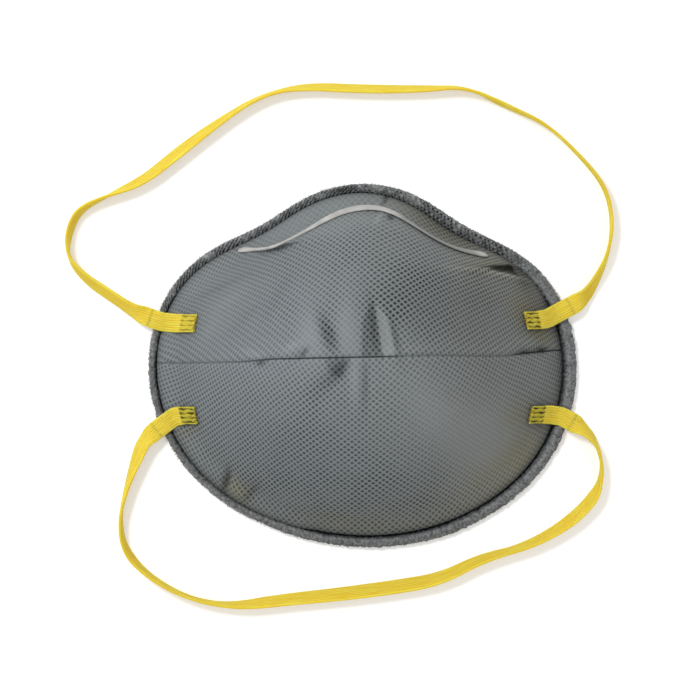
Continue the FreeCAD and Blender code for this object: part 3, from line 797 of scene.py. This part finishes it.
def lattice_counts(x, y):
    """How many pits lie between a point of the cover and the middle of the fold line, across
    the face and away from the fold. They crowd towards the cheeks, nose and chin, where the
    wall falls away. Their rows bow away from the fold and their columns spread from it."""
    step = 0.25
    places = np.arange(-72, 72, step)
    crowded = smooth_step(np.abs(places - 3), 8, 55)
    counted = np.cumsum(PITS_ACROSS + PITS_CROWDED * crowded) * step
    across = np.interp(x, places, counted) - np.interp(0, places, counted)
    off = y - crease_level(x)
    away = np.abs(off)
    near, far = np.minimum(away, 16), np.minimum(away, 28)
    spread = np.where(off < 0, 0.005 * x * (near - near ** 2 / 32),
                      (0.03 + 0.03 * smooth_step(x, 0, 15)) * away)
    below = PITS_BELOW * away + 0.004 * (far * away - far ** 2 / 2) + BOW_BELOW * x ** 2
    above = PITS_ABOVE * away + 0.002 * away ** 2 + 1.7e-6 * (x * away) ** 2 + BOW_ABOVE * x ** 2
    return across - spread, np.where(off < 0, below, above)


def cover_values(x, y, angle, share):
    """What the web's finish reads at each point: how deep its lattice is pressed, how much lighter
    it is with painted light and shade, its olive cast, and how far off it the fold line runs and
    how dark its painted shade is."""
    press = PRESS - 0.1 * smooth_step(share, 0.85, 1.0)
    # Painted shade: the cover darkens towards its foot, and more where the seam is deep.
    in_seam = smooth_step(seam_depth(angle), 0.2, 0.7) * smooth_step(share, 0.986, COVER_FOOT)
    tone = -FOOT_PAINTED_SHADE * smooth_step(share, 0.95, COVER_FOOT) - SEAM_PAINTED_SHADE * in_seam
    pads = [(shade, 0.0, *STRAP_ENDS[name][2:4], *PAD_SHADOW_SIZE, 0.0)
            for name, shade in PAD_PAINTED_SHADOWS.items()]
    for shade, deeper, *place in COVER_PAINTED_SHADING + pads:
        spot = bell(x, y, *place)
        tone = tone + shade * spot
        press = press + deeper * spot
    for shade, deeper, soft, corners in COVER_PAINTED_FACETS:
        inside = facet(x, y, soft, corners)
        tone = tone + shade * inside
        press = press + deeper * inside
    olive = sum(strength * bell(x, y, *place) for strength, *place in OLIVE_SPOTS)
    # The fold line's painted shade is darkest in its middle and at its right end.
    darkest_fold_shade = smooth_step(x, -50, -22) * smooth_step(x, 12, 8) + smooth_step(x, 46, 50)
    fold = FOLD_PAINTED_SHADE + FOLD_PAINTED_DARKER * darkest_fold_shade
    return {"press": np.clip(press, 0, 1), "tone": tone, "olive": np.clip(olive, 0, 1),
            "off_fold": y - crease_level(x), "fold": fold}


def make_cover(material):
    """The cover web as a closed thin shell. Its outside is a square grid drawn into the
    cup's outline, (p, q) going to p·√(1 − q²/2) and q·√(1 − p²/2), so that it has no pole.
    Its underside is rings from the same edge to the middle, a web's thickness further in."""
    lines = np.linspace(-1, 1, COVER_LINES)
    p, q = np.meshgrid(lines, lines, indexing="ij")
    disc_x, disc_y = p * np.sqrt(1 - q * q / 2), q * np.sqrt(1 - p * p / 2)
    angle, share = np.arctan2(disc_y, disc_x).ravel(), np.hypot(disc_x, disc_y).ravel()
    share = np.minimum(share, 1) * COVER_FOOT
    even = wall(angle, share)
    x, y = even[:, 0], even[:, 1]
    relief = cover_relief(x, y) * smooth_step(share, 1.0, 0.93)
    relief = np.maximum(relief + foot_bulge(angle, share), DEEPEST_DENT)
    outside = even + wall_normal(angle, share) * relief[:, None]

    index = np.arange(COVER_LINES ** 2).reshape(COVER_LINES, COVER_LINES)
    edge = np.concatenate([index[:-1, 0], index[-1, :-1], index[:0:-1, -1], index[0, :0:-1]])
    shares = share[edge] * np.linspace(1, 0, COVER_RINGS + 1)[:, None]
    turns = np.broadcast_to(angle[edge], shares.shape)
    under = wall(turns, shares) - wall_normal(turns, shares) * COVER_THICKNESS
    middle = np.array([[0, CROWN_SHIFT, CUP_DEPTH - COVER_THICKNESS]])
    points = np.concatenate([outside, under[1:-1].reshape(-1, 3), middle])

    first = COVER_LINES ** 2
    rim_rows = np.stack([edge, first + np.arange(len(edge))])
    after = np.roll(rim_rows, -1, axis=1)
    skirt = np.stack([rim_rows[0], rim_rows[1], after[1], after[0]], -1)
    last_ring = first + (COVER_RINGS - 2) * len(edge) + np.arange(len(edge))
    faces = [grid_faces(COVER_LINES, COVER_LINES)[:, ::-1], skirt,
             grid_faces(COVER_RINGS - 1, len(edge), ring=True, first=first)[:, ::-1],
             fan_faces(last_ring, len(points) - 1)[:, ::-1]]

    across, rows = lattice_counts(x, y)
    unseen = np.zeros(len(points) - first)
    counts = np.stack([np.concatenate([across + rows, unseen]),
                       np.concatenate([across - rows, unseen])], -1)
    tones = {name: np.concatenate([values, unseen])
             for name, values in cover_values(x, y, angle, share).items()}
    piece = put_mesh("cover", points, faces, material, counts, tones)
    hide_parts("cover_web")
    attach(piece, "root")


# ---------------------------------------------------------------- edge

EDGE_TURNS = 1900           # places round the rim
EDGE_POINTS = 26            # points round the bead's section
EDGE_POWER = 0.75           # how square that section is: 1 is an oval and 0 a box
STRAND_PITCH = 1.55         # strands of the bead, along the rim
TWISTED_DEPTH = 0.6         # hollows between strands that slant one way
CROSSED_DEPTH = 0.55        # hollows between strands that cross
TWISTED_SLANT = 7.0         # a strand's lead from the bead's middle to its side, in radians of
CROSSED_SLANT = -5.0        # its wave, and the lead of those that cross it
STRAND_DRIFT = 1.5          # how far they stray from even spacing, in the same radians
STRAND_SWELL = 0.35         # how much their depth varies, as a share
LUMP_HEIGHT = 0.05          # small lumps all round
FELT_LUMPS = 0.07           # and how much higher they are where the bead is plain felt
BEAD_SIDE_SHADING = 0.47           # painted light on its outer side and painted shade on its inner, where applied

LOOSE_FIBRES = 3600         # fibres that stand out of the bead
FIBRE_LENGTH = 0.3          # shortest of them
FIBRE_SPREAD = 0.75         # how much longer the longest is
ROOT_RADIUS = 0.075         # thicker than real fibres, so that they show
HALFWAY_RADIUS = 0.055


def rim_line(angle):
    """The rim's outside on the table, and the inward normal there."""
    step = 0.001
    here, ahead = [np.stack([rim_reach(a) * np.cos(a), rim_reach(a) * np.sin(a)], -1)
                   for a in (angle, angle + step)]
    along = unit(ahead - here)
    return here, np.stack([-along[:, 1], along[:, 0]], -1)


def smoothed(values, rounds):
    """Values round a ring, and round a section, each averaged with its neighbours."""
    for _ in range(rounds):
        for axis in range(values.ndim):
            values = (values + np.roll(values, 1, axis) + np.roll(values, -1, axis)) / 3
    return values / values.std()


def edge_tone(degrees):
    """How much lighter the bead is at this turn round the rim: darkest at the left, lightest
    beside the nose with a darker stretch over it, and a little darker round the chin."""
    left = 0.18 * smooth_step(degrees, -130, -170) + 0.1 * smooth_step(degrees, 165, 180)
    nose = 0.22 * smooth_step(degrees, 45, 65) * smooth_step(degrees, 172, 158)
    return nose - left - 0.06 * smooth_step(degrees, -20, -60) - 0.16 * hump(degrees, 85, 9)


def bead_strands(degrees, phase, wide, lumps):
    """The hollows between the bead's strands, and how far it is plain felt instead. The
    strands are waves along the rim whose crests slant across the bead: one way only on the
    left of the nose, both ways crossed on its right, and none at chin and cheeks."""
    twisted = smooth_step(degrees, 88, 98) * smooth_step(degrees, 176, 150)
    crossed = smooth_step(degrees, 20, 42) * smooth_step(degrees, 102, 92)
    slant = phase + TWISTED_SLANT * wide + 0.5 * lumps
    other = phase + CROSSED_SLANT * wide + 0.5 * lumps
    single = (0.5 - 0.5 * np.cos(slant)) ** 2
    double = (0.5 - 0.25 * np.cos(slant) - 0.25 * np.cos(other)) ** 2
    hollows = TWISTED_DEPTH * twisted * single + CROSSED_DEPTH * crossed * double
    return hollows, 1 - np.clip(twisted + crossed, 0, 1)


def make_edge(material):
    """The welded edge: a rounded section carried round the rim. Its strands have uneven
    spacing and depth, and small uneven lumps lie over them. Arrays here have a row for each
    place round the rim and a column for each point of the section."""
    angle = np.linspace(-np.pi, np.pi, EDGE_TURNS, endpoint=False)
    line, inward = rim_line(angle)
    run = run_along(np.concatenate([line, line[:1]]))
    strands = np.round(run[-1] / STRAND_PITCH)
    dice = np.random.default_rng(7)
    drift = smoothed(dice.normal(size=EDGE_TURNS), 160)
    swell = smoothed(dice.normal(size=EDGE_TURNS), 60)
    lumps = smoothed(dice.normal(size=(EDGE_TURNS, EDGE_POINTS)), 2)
    phase = run[:-1] / run[-1] * strands * 2 * np.pi + STRAND_DRIFT * drift
    wide, tall = rounded_box(EDGE_POINTS, EDGE_POWER, EDGE_POWER)
    degrees = np.degrees(angle)[:, None]
    hollows, felted = bead_strands(degrees, phase[:, None], wide, lumps)
    varied = np.clip(1 + STRAND_SWELL * swell, 0.3, 1.6)[:, None]
    wave = hollows * varied * np.clip(tall + 0.5, 0, 1)

    reach = (LUMP_HEIGHT + FELT_LUMPS * felted) * lumps - wave
    start, seam = [place[:, None] for place in edge_span(angle)]
    inset = (start + seam) / 2 - ((seam - start) / 2 + reach) * wide
    height = BEAD_HEIGHT / 2 + (BEAD_HEIGHT / 2 + reach) * tall
    points = np.empty((EDGE_TURNS, EDGE_POINTS, 3))
    points[..., :2] = line[:, None, :] + inward[:, None, :] * inset[..., None]
    points[..., 2] = np.maximum(height, 0)

    # Painted shade in the hollows between strands, and along the bead's inner side where the seam
    # is deep.
    inner_side = smooth_step(wide, -0.3, -0.95) * smooth_step(tall, -0.5, 0.2)
    gap_shade = np.clip(2.0 * wave - 0.12 * lumps, 0, 1)
    gap_shade = np.maximum(gap_shade, seam_depth(angle)[:, None] * inner_side)
    stripe = 0.12 * hump(wide, -0.35, 0.3) - 0.12 * hump(wide, 0.45, 0.35)
    # Painted light on the bead's outer side and painted shade on its inner side, from right of the
    # nose round over the left side to the lower left.
    shaded_turns = np.maximum(smooth_step(degrees, 30, 55), smooth_step(degrees, -120, -140))
    tone = edge_tone(degrees) + felted * stripe + BEAD_SIDE_SHADING * shaded_turns * wide
    piece = put_mesh("edge_welt", points.reshape(-1, 3),
                     [torus_faces(EDGE_TURNS, EDGE_POINTS)[:, ::-1]], material,
                     tones={"gap_shade": gap_shade.ravel(), "tone": tone.ravel()})
    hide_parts("edge_band")
    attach(piece, "root")


def make_fuzz(material):
    """Loose fibres of the bead, scattered over its outer side and top. Each is a closed bent
    spike: a triangle at its root, a smaller one half-way, and a point."""
    dice = np.random.default_rng(11)
    angle = dice.uniform(-np.pi, np.pi, LOOSE_FIBRES)
    tilt = np.radians(dice.uniform(-15, 130, LOOSE_FIBRES))
    line, inward = rim_line(angle)
    outward = np.column_stack([-inward, np.zeros(LOOSE_FIBRES)])
    along = np.column_stack([inward[:, 1], -inward[:, 0], np.zeros(LOOSE_FIBRES)])
    up = np.array([0, 0, 1.0])
    cos, sin = np.cos(tilt)[:, None], np.sin(tilt)[:, None]
    start, seam = [place[:, None] for place in edge_span(angle)]
    middle = np.column_stack([line + inward * (start + seam) / 2,
                              np.full(LOOSE_FIBRES, BEAD_HEIGHT / 2)])
    root = middle + outward * cos * (seam - start) * 0.46 + up * sin * BEAD_HEIGHT * 0.46
    stray = dice.normal(size=(2, LOOSE_FIBRES, 1))
    grow = unit(outward * cos + up * sin + along * 0.9 * stray[0])
    length = (FIBRE_LENGTH + FIBRE_SPREAD * dice.random(LOOSE_FIBRES) ** 2)[:, None]
    half = root + grow * length * 0.5
    tip = root + grow * length + (along * stray[1] * 0.3 + outward * 0.1 + up * 0.1) * length

    side = unit(np.cross(grow, up + 0.3 * along))
    other = np.cross(grow, side)
    spin = np.arange(3)[:, None] * 2 * np.pi / 3
    ring = side[:, None, :] * np.cos(spin) + other[:, None, :] * np.sin(spin)
    points = np.concatenate([root[:, None, :] + ROOT_RADIUS * ring,
                             half[:, None, :] + HALFWAY_RADIUS * ring, tip[:, None, :]], axis=1)
    corners = points.shape[1]
    sides = np.array([[0, 1, 4, 3], [1, 2, 5, 4], [2, 0, 3, 5]])
    tops = np.array([[3, 4, 6], [4, 5, 6], [5, 3, 6], [2, 1, 0]])
    first = np.arange(LOOSE_FIBRES)[:, None, None] * corners
    tone = np.repeat(edge_tone(np.degrees(angle)) + 0.25, corners)
    piece = put_mesh("edge_fuzz", points.reshape(-1, 3),
                     [(first + sides).reshape(-1, 4), (first + tops).reshape(-1, 3)], material,
                     tones={"gap_shade": 0.0, "tone": tone})
    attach(piece, "root")


def make_margin(material):
    """The pressed margin inside the bead: a thin plate with a rounded inner side, carried round the
    rim, coloured almost black as painted shade in the seam. Its section is given as (in from the
    rim's outside, height)."""
    turns = 360
    line, inward = rim_line(np.linspace(-np.pi, np.pi, turns, endpoint=False))
    outer, inner, low, high = BEAD_WIDTH / 2, 8.4, 0.02, MARGIN_HEIGHT - 0.02
    section = np.array([[outer, low], [inner, low], [inner + 0.1, MARGIN_HEIGHT / 2],
                        [inner, high], [outer, high]])
    points = np.empty((turns, len(section), 3))
    points[..., :2] = line[:, None, :] + inward[:, None, :] * section[:, :1]
    points[..., 2] = section[:, 1]
    piece = put_mesh("edge_margin", points.reshape(-1, 3),
                     [torus_faces(turns, len(section))[:, ::-1]], material,
                     tones={"gap_shade": 0.9, "tone": 0.0})
    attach(piece, "root")


# ---------------------------------------------------------------- nose clip

CLIP_REACH = 40.4           # middle to each end of the clip, across the face
CLIP_WIDTH = 3.1            # aluminium strip, across
CLIP_THICKNESS = 0.7
CLIP_LEVEL = 36.3           # level of its ends
CLIP_RISE = 14.2            # how much higher it runs over the nose
CLIP_SPREAD = 21.5          # half width of that rise
CLIP_TILT = 0.022           # how much lower it runs for each millimetre to the right
CLIP_WAVES = [(-0.7, -30.0, 6.0), (0.7, 8.0, 9.0)]      # its dip and swell: (height, x, spread)
CLIP_ROLL = 0.35            # radians that its right half is rolled towards the bead
CLIP_END = 1.6              # length of its rounded ends
CLIP_STATIONS = 150         # places along it
CLIP_POINTS = 24            # points round its section


def make_clip(material):
    """The nose clip: a rounded strip carried along the nose wall. Seen from the front its line is y
    = level + rise·exp(−(|x − 1| / spread)^2.2) − tilt·x, with a dip at the left and a swell right
    of the nose. At the left its edges are bedded in the web, so less of it shows. At the right it
    is rolled a little, and its tone is darker there."""
    x = CLIP_REACH * np.sin(np.linspace(-np.pi / 2, np.pi / 2, CLIP_STATIONS))
    rise = CLIP_RISE * np.exp(-((np.abs(x - 1.0) / CLIP_SPREAD) ** 2.2))
    waves = sum(height * hump(x, *place) for height, *place in CLIP_WAVES)
    y = CLIP_LEVEL + rise - CLIP_TILT * x + waves
    middle, normal = over_wall(x, y, cover_relief(x, y) + 0.2)
    side = unit(np.cross(normal, unit(np.gradient(middle, axis=0))))
    roll = CLIP_ROLL * hump(x, 22.0, 12.0)[:, None]
    up = normal * np.cos(roll) + side * np.sin(roll)
    side = side * np.cos(roll) - normal * np.sin(roll)
    bedded = smooth_step(x, -8, -24) * smooth_step(x, -42, -33)
    shown = 1 - 0.6 * bedded + 0.3 * hump(x, 1.0, 10.0)
    past = np.clip((np.abs(x) - CLIP_REACH + CLIP_END) / CLIP_END, 0, 1)
    rounding = np.sqrt(1 - past ** 2)
    wide, tall = rounded_box(CLIP_POINTS, 0.4, 0.6)
    half = (CLIP_WIDTH / 2 * shown * rounding)[:, None] * wide
    lift = (CLIP_THICKNESS / 2 * (0.35 + 0.65 * rounding))[:, None] * (tall + 0.6)
    points, faces = capped_tube(middle[:, None, :] + side[:, None, :] * half[..., None]
                                + up[:, None, :] * lift[..., None])
    dimmed = np.repeat(smooth_step(x, 10, 16) * smooth_step(x, 38, 33), CLIP_POINTS)
    piece = put_mesh("clip_strip", points, faces, material, tones={"dimmed": with_ends(dimmed)})
    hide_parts("nose_clip")
    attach(piece, "root")


# ---------------------------------------------------------------- straps

def smooth_line(name, route):
    """The points of a smooth line whose control points are the route's."""
    curve = bpy.data.curves.new(name, "CURVE")
    curve.dimensions = "3D"
    curve.resolution_u = 18
    spline = curve.splines.new("NURBS")
    spline.points.add(len(route) - 1)
    for point, place in zip(spline.points, route):
        point.co = (place[0] * MM, place[1] * MM, place[2] * MM, 1)
    spline.order_u = 3
    spline.use_endpoint_u = True
    holder = bpy.data.objects.new(name, curve)
    mesh = bpy.data.meshes.new_from_object(holder)
    line = np.empty(len(mesh.vertices) * 3)
    mesh.vertices.foreach_get("co", line)
    bpy.data.objects.remove(holder)
    return line.reshape(-1, 3) / MM


def band_section():
    """The strap's section: flat with rounded sides, and one low swelling for each rib."""
    per_rib = 6
    half = STRAP_WIDTH / 2
    across = np.linspace(-half, half, STRAP_RIBS * per_rib + 1)
    rib = np.cos(across / STRAP_WIDTH * STRAP_RIBS * 2 * np.pi + np.pi)
    through = STRAP_THICKNESS / 2 * np.sqrt(1 - np.abs(across / half) ** 8) * (0.9 + 0.1 * rib)
    section = np.stack([across, through], -1)
    under = section[-2:0:-1] * [1, -1]
    return np.concatenate([section, under])


def weld_grooves(run, across, pressed, seed):
    """How deep the weld's grooves are: narrow wandering channels along the pad, each fading
    unevenly, none at its sides or past its ends. The seed shifts them from pad to pad."""
    strand = across / STRAP_WIDTH * WELD_GROOVES
    wander = 0.07 * np.sin(run * 1.9 + seed) + 0.05 * np.sin(run * 4.3 + 2 * seed)
    channel = 0.5 - 0.5 * np.cos((strand + wander) * 2 * np.pi)
    rows_apart = np.floor(strand) * 2.4 + seed
    ends = 0.8 + 0.25 * np.cos((run - 1.0) / (WELD_LENGTH - 0.6) * 2 * np.pi)
    uneven = np.clip(ends + 0.3 * np.sin(run * 0.9 + rows_apart), 0.2, 1)
    width = 0.75 * pressed.max() * (0.6 + 0.5 * np.sin(run * 1.3 + rows_apart * 2))
    groove = smooth_step(channel, 0.75 - width, 1.0 - width * 0.4) * uneven
    within = smooth_step(np.abs(across), 0.48 * STRAP_WIDTH, 0.41 * STRAP_WIDTH)
    return groove * within * np.minimum(pressed * 1.3, 1) * smooth_step(run, 0.1, 0.7)


def carry_band(name, line, face, material, drawn, pressed=None, seed=0.0):
    """The band along a line, with its face turned the way that face gives at each point of
    it and its section drawn in by a share there. Pressed, a share too, thins the band, cuts
    the weld's grooves, which the seed shifts, and frays its end."""
    along = unit(np.gradient(line, axis=0))
    side = unit(np.cross(face, along))
    face = np.cross(along, side)
    across, through = band_section().T
    welded = pressed is not None
    pressed = (pressed if welded else np.zeros(len(line)))[:, None]
    run = run_along(line)[:, None]
    drawn = drawn[:, None]
    groove = weld_grooves(run, across, pressed, seed)
    thin = 1 - WELD_THINS * pressed - GROOVE_THINS * groove
    fray = 0.35 * np.sin(across * 5.1 + seed) + 0.2 * np.sin(across * 11.0)
    frayed = fray * smooth_step(run, 2.0, 0.0) * welded
    wide = across * drawn * (1 - 0.05 * pressed)
    points, faces = capped_tube(line[:, None, :] + side[:, None, :] * wide[..., None]
                                + face[:, None, :] * (through * thin * drawn)[..., None]
                                + along[:, None, :] * frayed[..., None])
    columns = len(across)
    counted = across / STRAP_WIDTH * STRAP_RIBS + 0.5
    uv = np.stack([np.append(np.repeat(run, columns), [0, run[-1, 0]]),
                   with_ends(np.tile(counted, len(line)))], -1)
    tones = {"groove": with_ends(groove),
             "weld": with_ends(np.repeat(0.85 * pressed, columns))}
    return put_mesh(name, points, faces, material, uv, tones, flat=2 * columns)


def edge_at_level(level):
    """How far out the rim is at a level, by halving the turn from the X axis."""
    low, high = 0.0, np.pi / 2
    for _ in range(40):
        middle = (low + high) / 2
        if rim_reach(np.copysign(middle, level)) * np.sin(middle) < abs(level):
            low = middle
        else:
            high = middle
    return rim_reach(np.copysign(low, level)) * np.cos(low)


def turning_point(level, side):
    """Where a strap turns: above the bead and just outside it. Side is 1 on the right."""
    height = BEAD_HEIGHT + STRAP_SEAT + STRAP_THICKNESS / 2
    return np.array([side * (edge_at_level(level) + STRAP_REACH), level, height])


def side_of(hand):
    """1 for the right and -1 for the left."""
    return 1 if hand == "right" else -1


def leaving(word, hand):
    """A welded end's turning point and the way that the strap leaves there."""
    level, degrees, _, _, _ = STRAP_ENDS[f"{word}_{hand}"]
    way = np.array([side_of(hand) * np.cos(np.radians(degrees)), np.sin(np.radians(degrees)), 0])
    return turning_point(level, side_of(hand)), way


def leaning_face(line, keys, outward):
    """The way that the band's face turns along a line: from upright by the lean, eased
    between its keys, towards the side that outward gives. 1 is left of the way it runs."""
    run = run_along(line)
    shares, degrees = np.array(keys).T
    lean = np.interp(run / run[-1], shares, degrees)
    window = np.hanning(9)
    lean = np.convolve(np.pad(lean, 4, mode="edge"), window / window.sum(), mode="valid")
    lean[[0, -1]] = 0
    along = np.gradient(line, axis=0)
    left = unit(np.cross([0, 0, 1], along))
    up = unit(np.cross(along, left))
    lean = np.radians(lean)[:, None]
    return up * np.cos(lean) + left * np.sin(lean) * outward


def strap_loop(word, route, lean, outward, material):
    """A strap's free loop, from its left turning point round to its right one. It runs on a
    little inside its welded ends, drawn in there so that it stays hidden."""
    start, way_out = leaving(word, "left")
    end, way_in = leaving(word, "right")
    control = [start, start + way_out * STRAP_LEAD, *route, end + way_in * STRAP_LEAD, end]
    line = smooth_line(word + "_line", control)
    face = leaning_face(line, lean, outward)
    tucks = np.array([1.0, 0.5])[:, None] * STRAP_TUCK
    whole = np.concatenate([start - way_out * tucks, line, end - way_in * tucks[::-1]])
    face = np.concatenate([face[[0, 0]], face, face[[-1, -1]]])
    drawn = np.concatenate([LOOP_DRAWN, np.ones(len(line)), LOOP_DRAWN[::-1]])
    piece = carry_band(word + "_loop", whole, face, material, drawn)
    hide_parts(word + "_strap")
    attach(piece, word + "_strap")


def strap_end(word, hand, material):
    """A strap's welded end: its pad flat on the wall, then straight across to the bead, over
    it and out to where it turns. Its face turns from the wall's to upright on the way."""
    turn, way = leaving(word, hand)
    _, _, pad_x, pad_y, hard = STRAP_ENDS[f"{word}_{hand}"]
    bead_top = turn - way * (STRAP_REACH + BEAD_WIDTH / 2)
    pad_x = pad_x + side_of(hand) * WELD_LENGTH * np.array([-0.5, 0.5])
    rest = STRAP_SEAT + STRAP_THICKNESS / 2
    (inner, outer), faces = over_wall(pad_x, [pad_y, pad_y], np.array([rest - 0.25, rest - 0.1]))
    back = unit((outer - bead_top) * [1, 1, 0])
    bead_inside = bead_top + back * BEAD_WIDTH / 2
    line = smooth_line(f"{word}_{hand}_line", [inner, outer, bead_inside, bead_top, turn])
    tucks = np.array([0.5, 1.0])[:, None] * STRAP_TUCK
    drawn = np.concatenate([np.ones(len(line)), END_DRAWN])
    line = np.concatenate([line, turn + way * tucks])
    run = run_along(line)
    upright = smooth_step(run, WELD_LENGTH * 0.7, run[-1] - 3.0)[:, None]
    face = faces[1] * (1 - upright) + np.array([0, 0, 1.0]) * upright
    pressed = hard * smooth_step(run, WELD_LENGTH + 0.9, WELD_LENGTH + 0.1)
    piece = carry_band(f"{word}_{hand}_end", line, face, material, drawn, pressed, pad_x[0])
    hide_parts(f"{word}_{hand}_strap_end")
    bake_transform(piece)


def make_straps(material):
    """Two loops, each with its two welded ends. The upper one runs clockwise from its left
    end, so its outward side is on its left, and the lower one's is on its right."""
    for word, route, lean, outward in (("upper", UPPER_LOOP, UPPER_LEAN, 1),
                                       ("lower", LOWER_LOOP, LOWER_LEAN, -1)):
        strap_loop(word, route, lean, outward, material)
        for hand in ("left", "right"):
            strap_end(word, hand, material)


# ---------------------------------------------------------------- set and light

def make_floor():
    """A pale matt floor. It glows a little wherever the camera, or a reflection, sees it, so
    that it comes out white where it is lit and darker only where the mask shades it."""
    material, tree, surface = new_material("pale_floor", 0.9, Specular_IOR_Level=0.1)
    surface.inputs["Base Color"].default_value = colour("#F2F2F2")
    path = add_node(tree, "ShaderNodeLightPath")
    seen = add_node(tree, "ShaderNodeMath", {0: path.outputs["Is Camera Ray"],
                                            1: path.outputs["Is Glossy Ray"]},
                    operation="MAXIMUM")
    straight = add_node(tree, "ShaderNodeMath", {0: seen, 1: path.outputs["Is Transmission Ray"]},
                        operation="MAXIMUM")
    lift = add_node(tree, "ShaderNodeMath", {0: straight, 1: 0.3}, operation="MULTIPLY")
    glow = add_node(tree, "ShaderNodeEmission", {"Color": (1, 1, 1, 1), "Strength": lift})
    both = add_node(tree, "ShaderNodeAddShader", {0: surface, 1: glow})
    tree.links.new(both.outputs[0], tree.nodes["Material Output"].inputs["Surface"])
    half, level = 1500.0, -0.1
    points = np.array([[-half, -half, level], [half, -half, level], [half, half, level],
                       [-half, half, level]])
    floor = put_mesh("floor", points, [np.array([[0, 1, 2, 3]])], material)


def make_lights():
    """A soft lamp from the upper left, its size and place in metres, and an even white world
    that is darker as a light than it is behind the mask."""
    lamp = bpy.data.lights.new("window", "AREA")
    lamp.shape = "DISK"
    lamp.size = 0.26
    lamp.energy = 6.8
    holder = bpy.data.objects.new("window", lamp)
    holder.location = (-0.45, 0.45, 1.0)
    holder.rotation_mode = "QUATERNION"
    holder.rotation_quaternion = (-holder.location).to_track_quat("-Z", "Y")
    bpy.context.scene.collection.objects.link(holder)
    world = bpy.data.worlds.new("room")
    bpy.context.scene.world = world
    world.use_nodes = True
    tree = world.node_tree
    path = add_node(tree, "ShaderNodeLightPath")
    strength = add_node(tree, "ShaderNodeMapRange", {"Value": path.outputs["Is Camera Ray"],
                                                    "To Min": 0.62, "To Max": 1.0})
    background = tree.nodes["Background"]
    background.inputs["Color"].default_value = (1, 1, 1, 1)
    tree.links.new(strength.outputs[0], background.inputs["Strength"])


def make_camera():
    """Straight above the mask, a little left of its middle and towards the nose. The field
    is how much of the table it takes in."""
    data = bpy.data.cameras.new("camera")
    height, field = 900.0, 223.0
    data.sensor_width = 36.0
    data.lens = data.sensor_width * height / field
    data.clip_start = 0.05
    camera = bpy.data.objects.new("camera", data)
    camera.location = (-7.4 * MM, 8.2 * MM, height * MM)
    bpy.context.scene.collection.objects.link(camera)
    bpy.context.scene.camera = camera


make_camera()
make_lights()
make_floor()
elastic = braided_elastic()
make_straps(elastic)
felt = pressed_felt()
make_cover(pressed_spunbond())
make_edge(felt)
make_margin(felt)
make_fuzz(felt)
# Satin aluminium under a matt lacquer: pale grey with a soft even sheen and no reflections.
make_clip(plain_finish("satin_aluminium", "#D3D2CF", "#8A8A88", 0.5, 3.333, 0.02))

# The pieces that keep the mask's own meshes, and what their finishes give the eye.
FINISHES = {
    # Charcoal-loaded felt: dark grey and quite matt, with a coarse fibre.
    "carbon_web": plain_finish("carbon_loaded_web", "#4A4D4F", "#2C2E30", 0.95, 1.111, 0.2),
    # Charged meltblown polypropylene: clean white and softly matt, like thick paper.
    "filter_web": plain_finish("electret_web", "#ECEDEB", "#DCDEDD", 0.9, 1.111, 0.15),
    # Heat-moulded polyester felt: off-white and stiff, a little smoother than the webs.
    "support_shell": plain_finish("moulded_polyester", "#D4D6D4", "#BDC0BF", 0.8, 1.429, 0.2),
    # Soft spunbond against the skin: pale cool grey and finely fibrous.
    "inner_lining": plain_finish("soft_spunbond", "#D9DCDD", "#BFC4C6", 0.9, 0.909, 0.2),
    # Open-cell urethane foam: dark grey, pitted all over with small cells.
    "nose_foam": plain_finish("urethane_foam", "#5B5E60", "#2F3234", 0.95, 0.667, 0.4),
}
for node, finish in FINISHES.items():
    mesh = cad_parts[node].data
    mesh.materials.clear()
    mesh.materials.append(finish)
    mesh.polygons.foreach_set("use_smooth", np.ones(len(mesh.polygons), bool))

scene = bpy.context.scene
scene.view_settings.view_transform = "Standard"
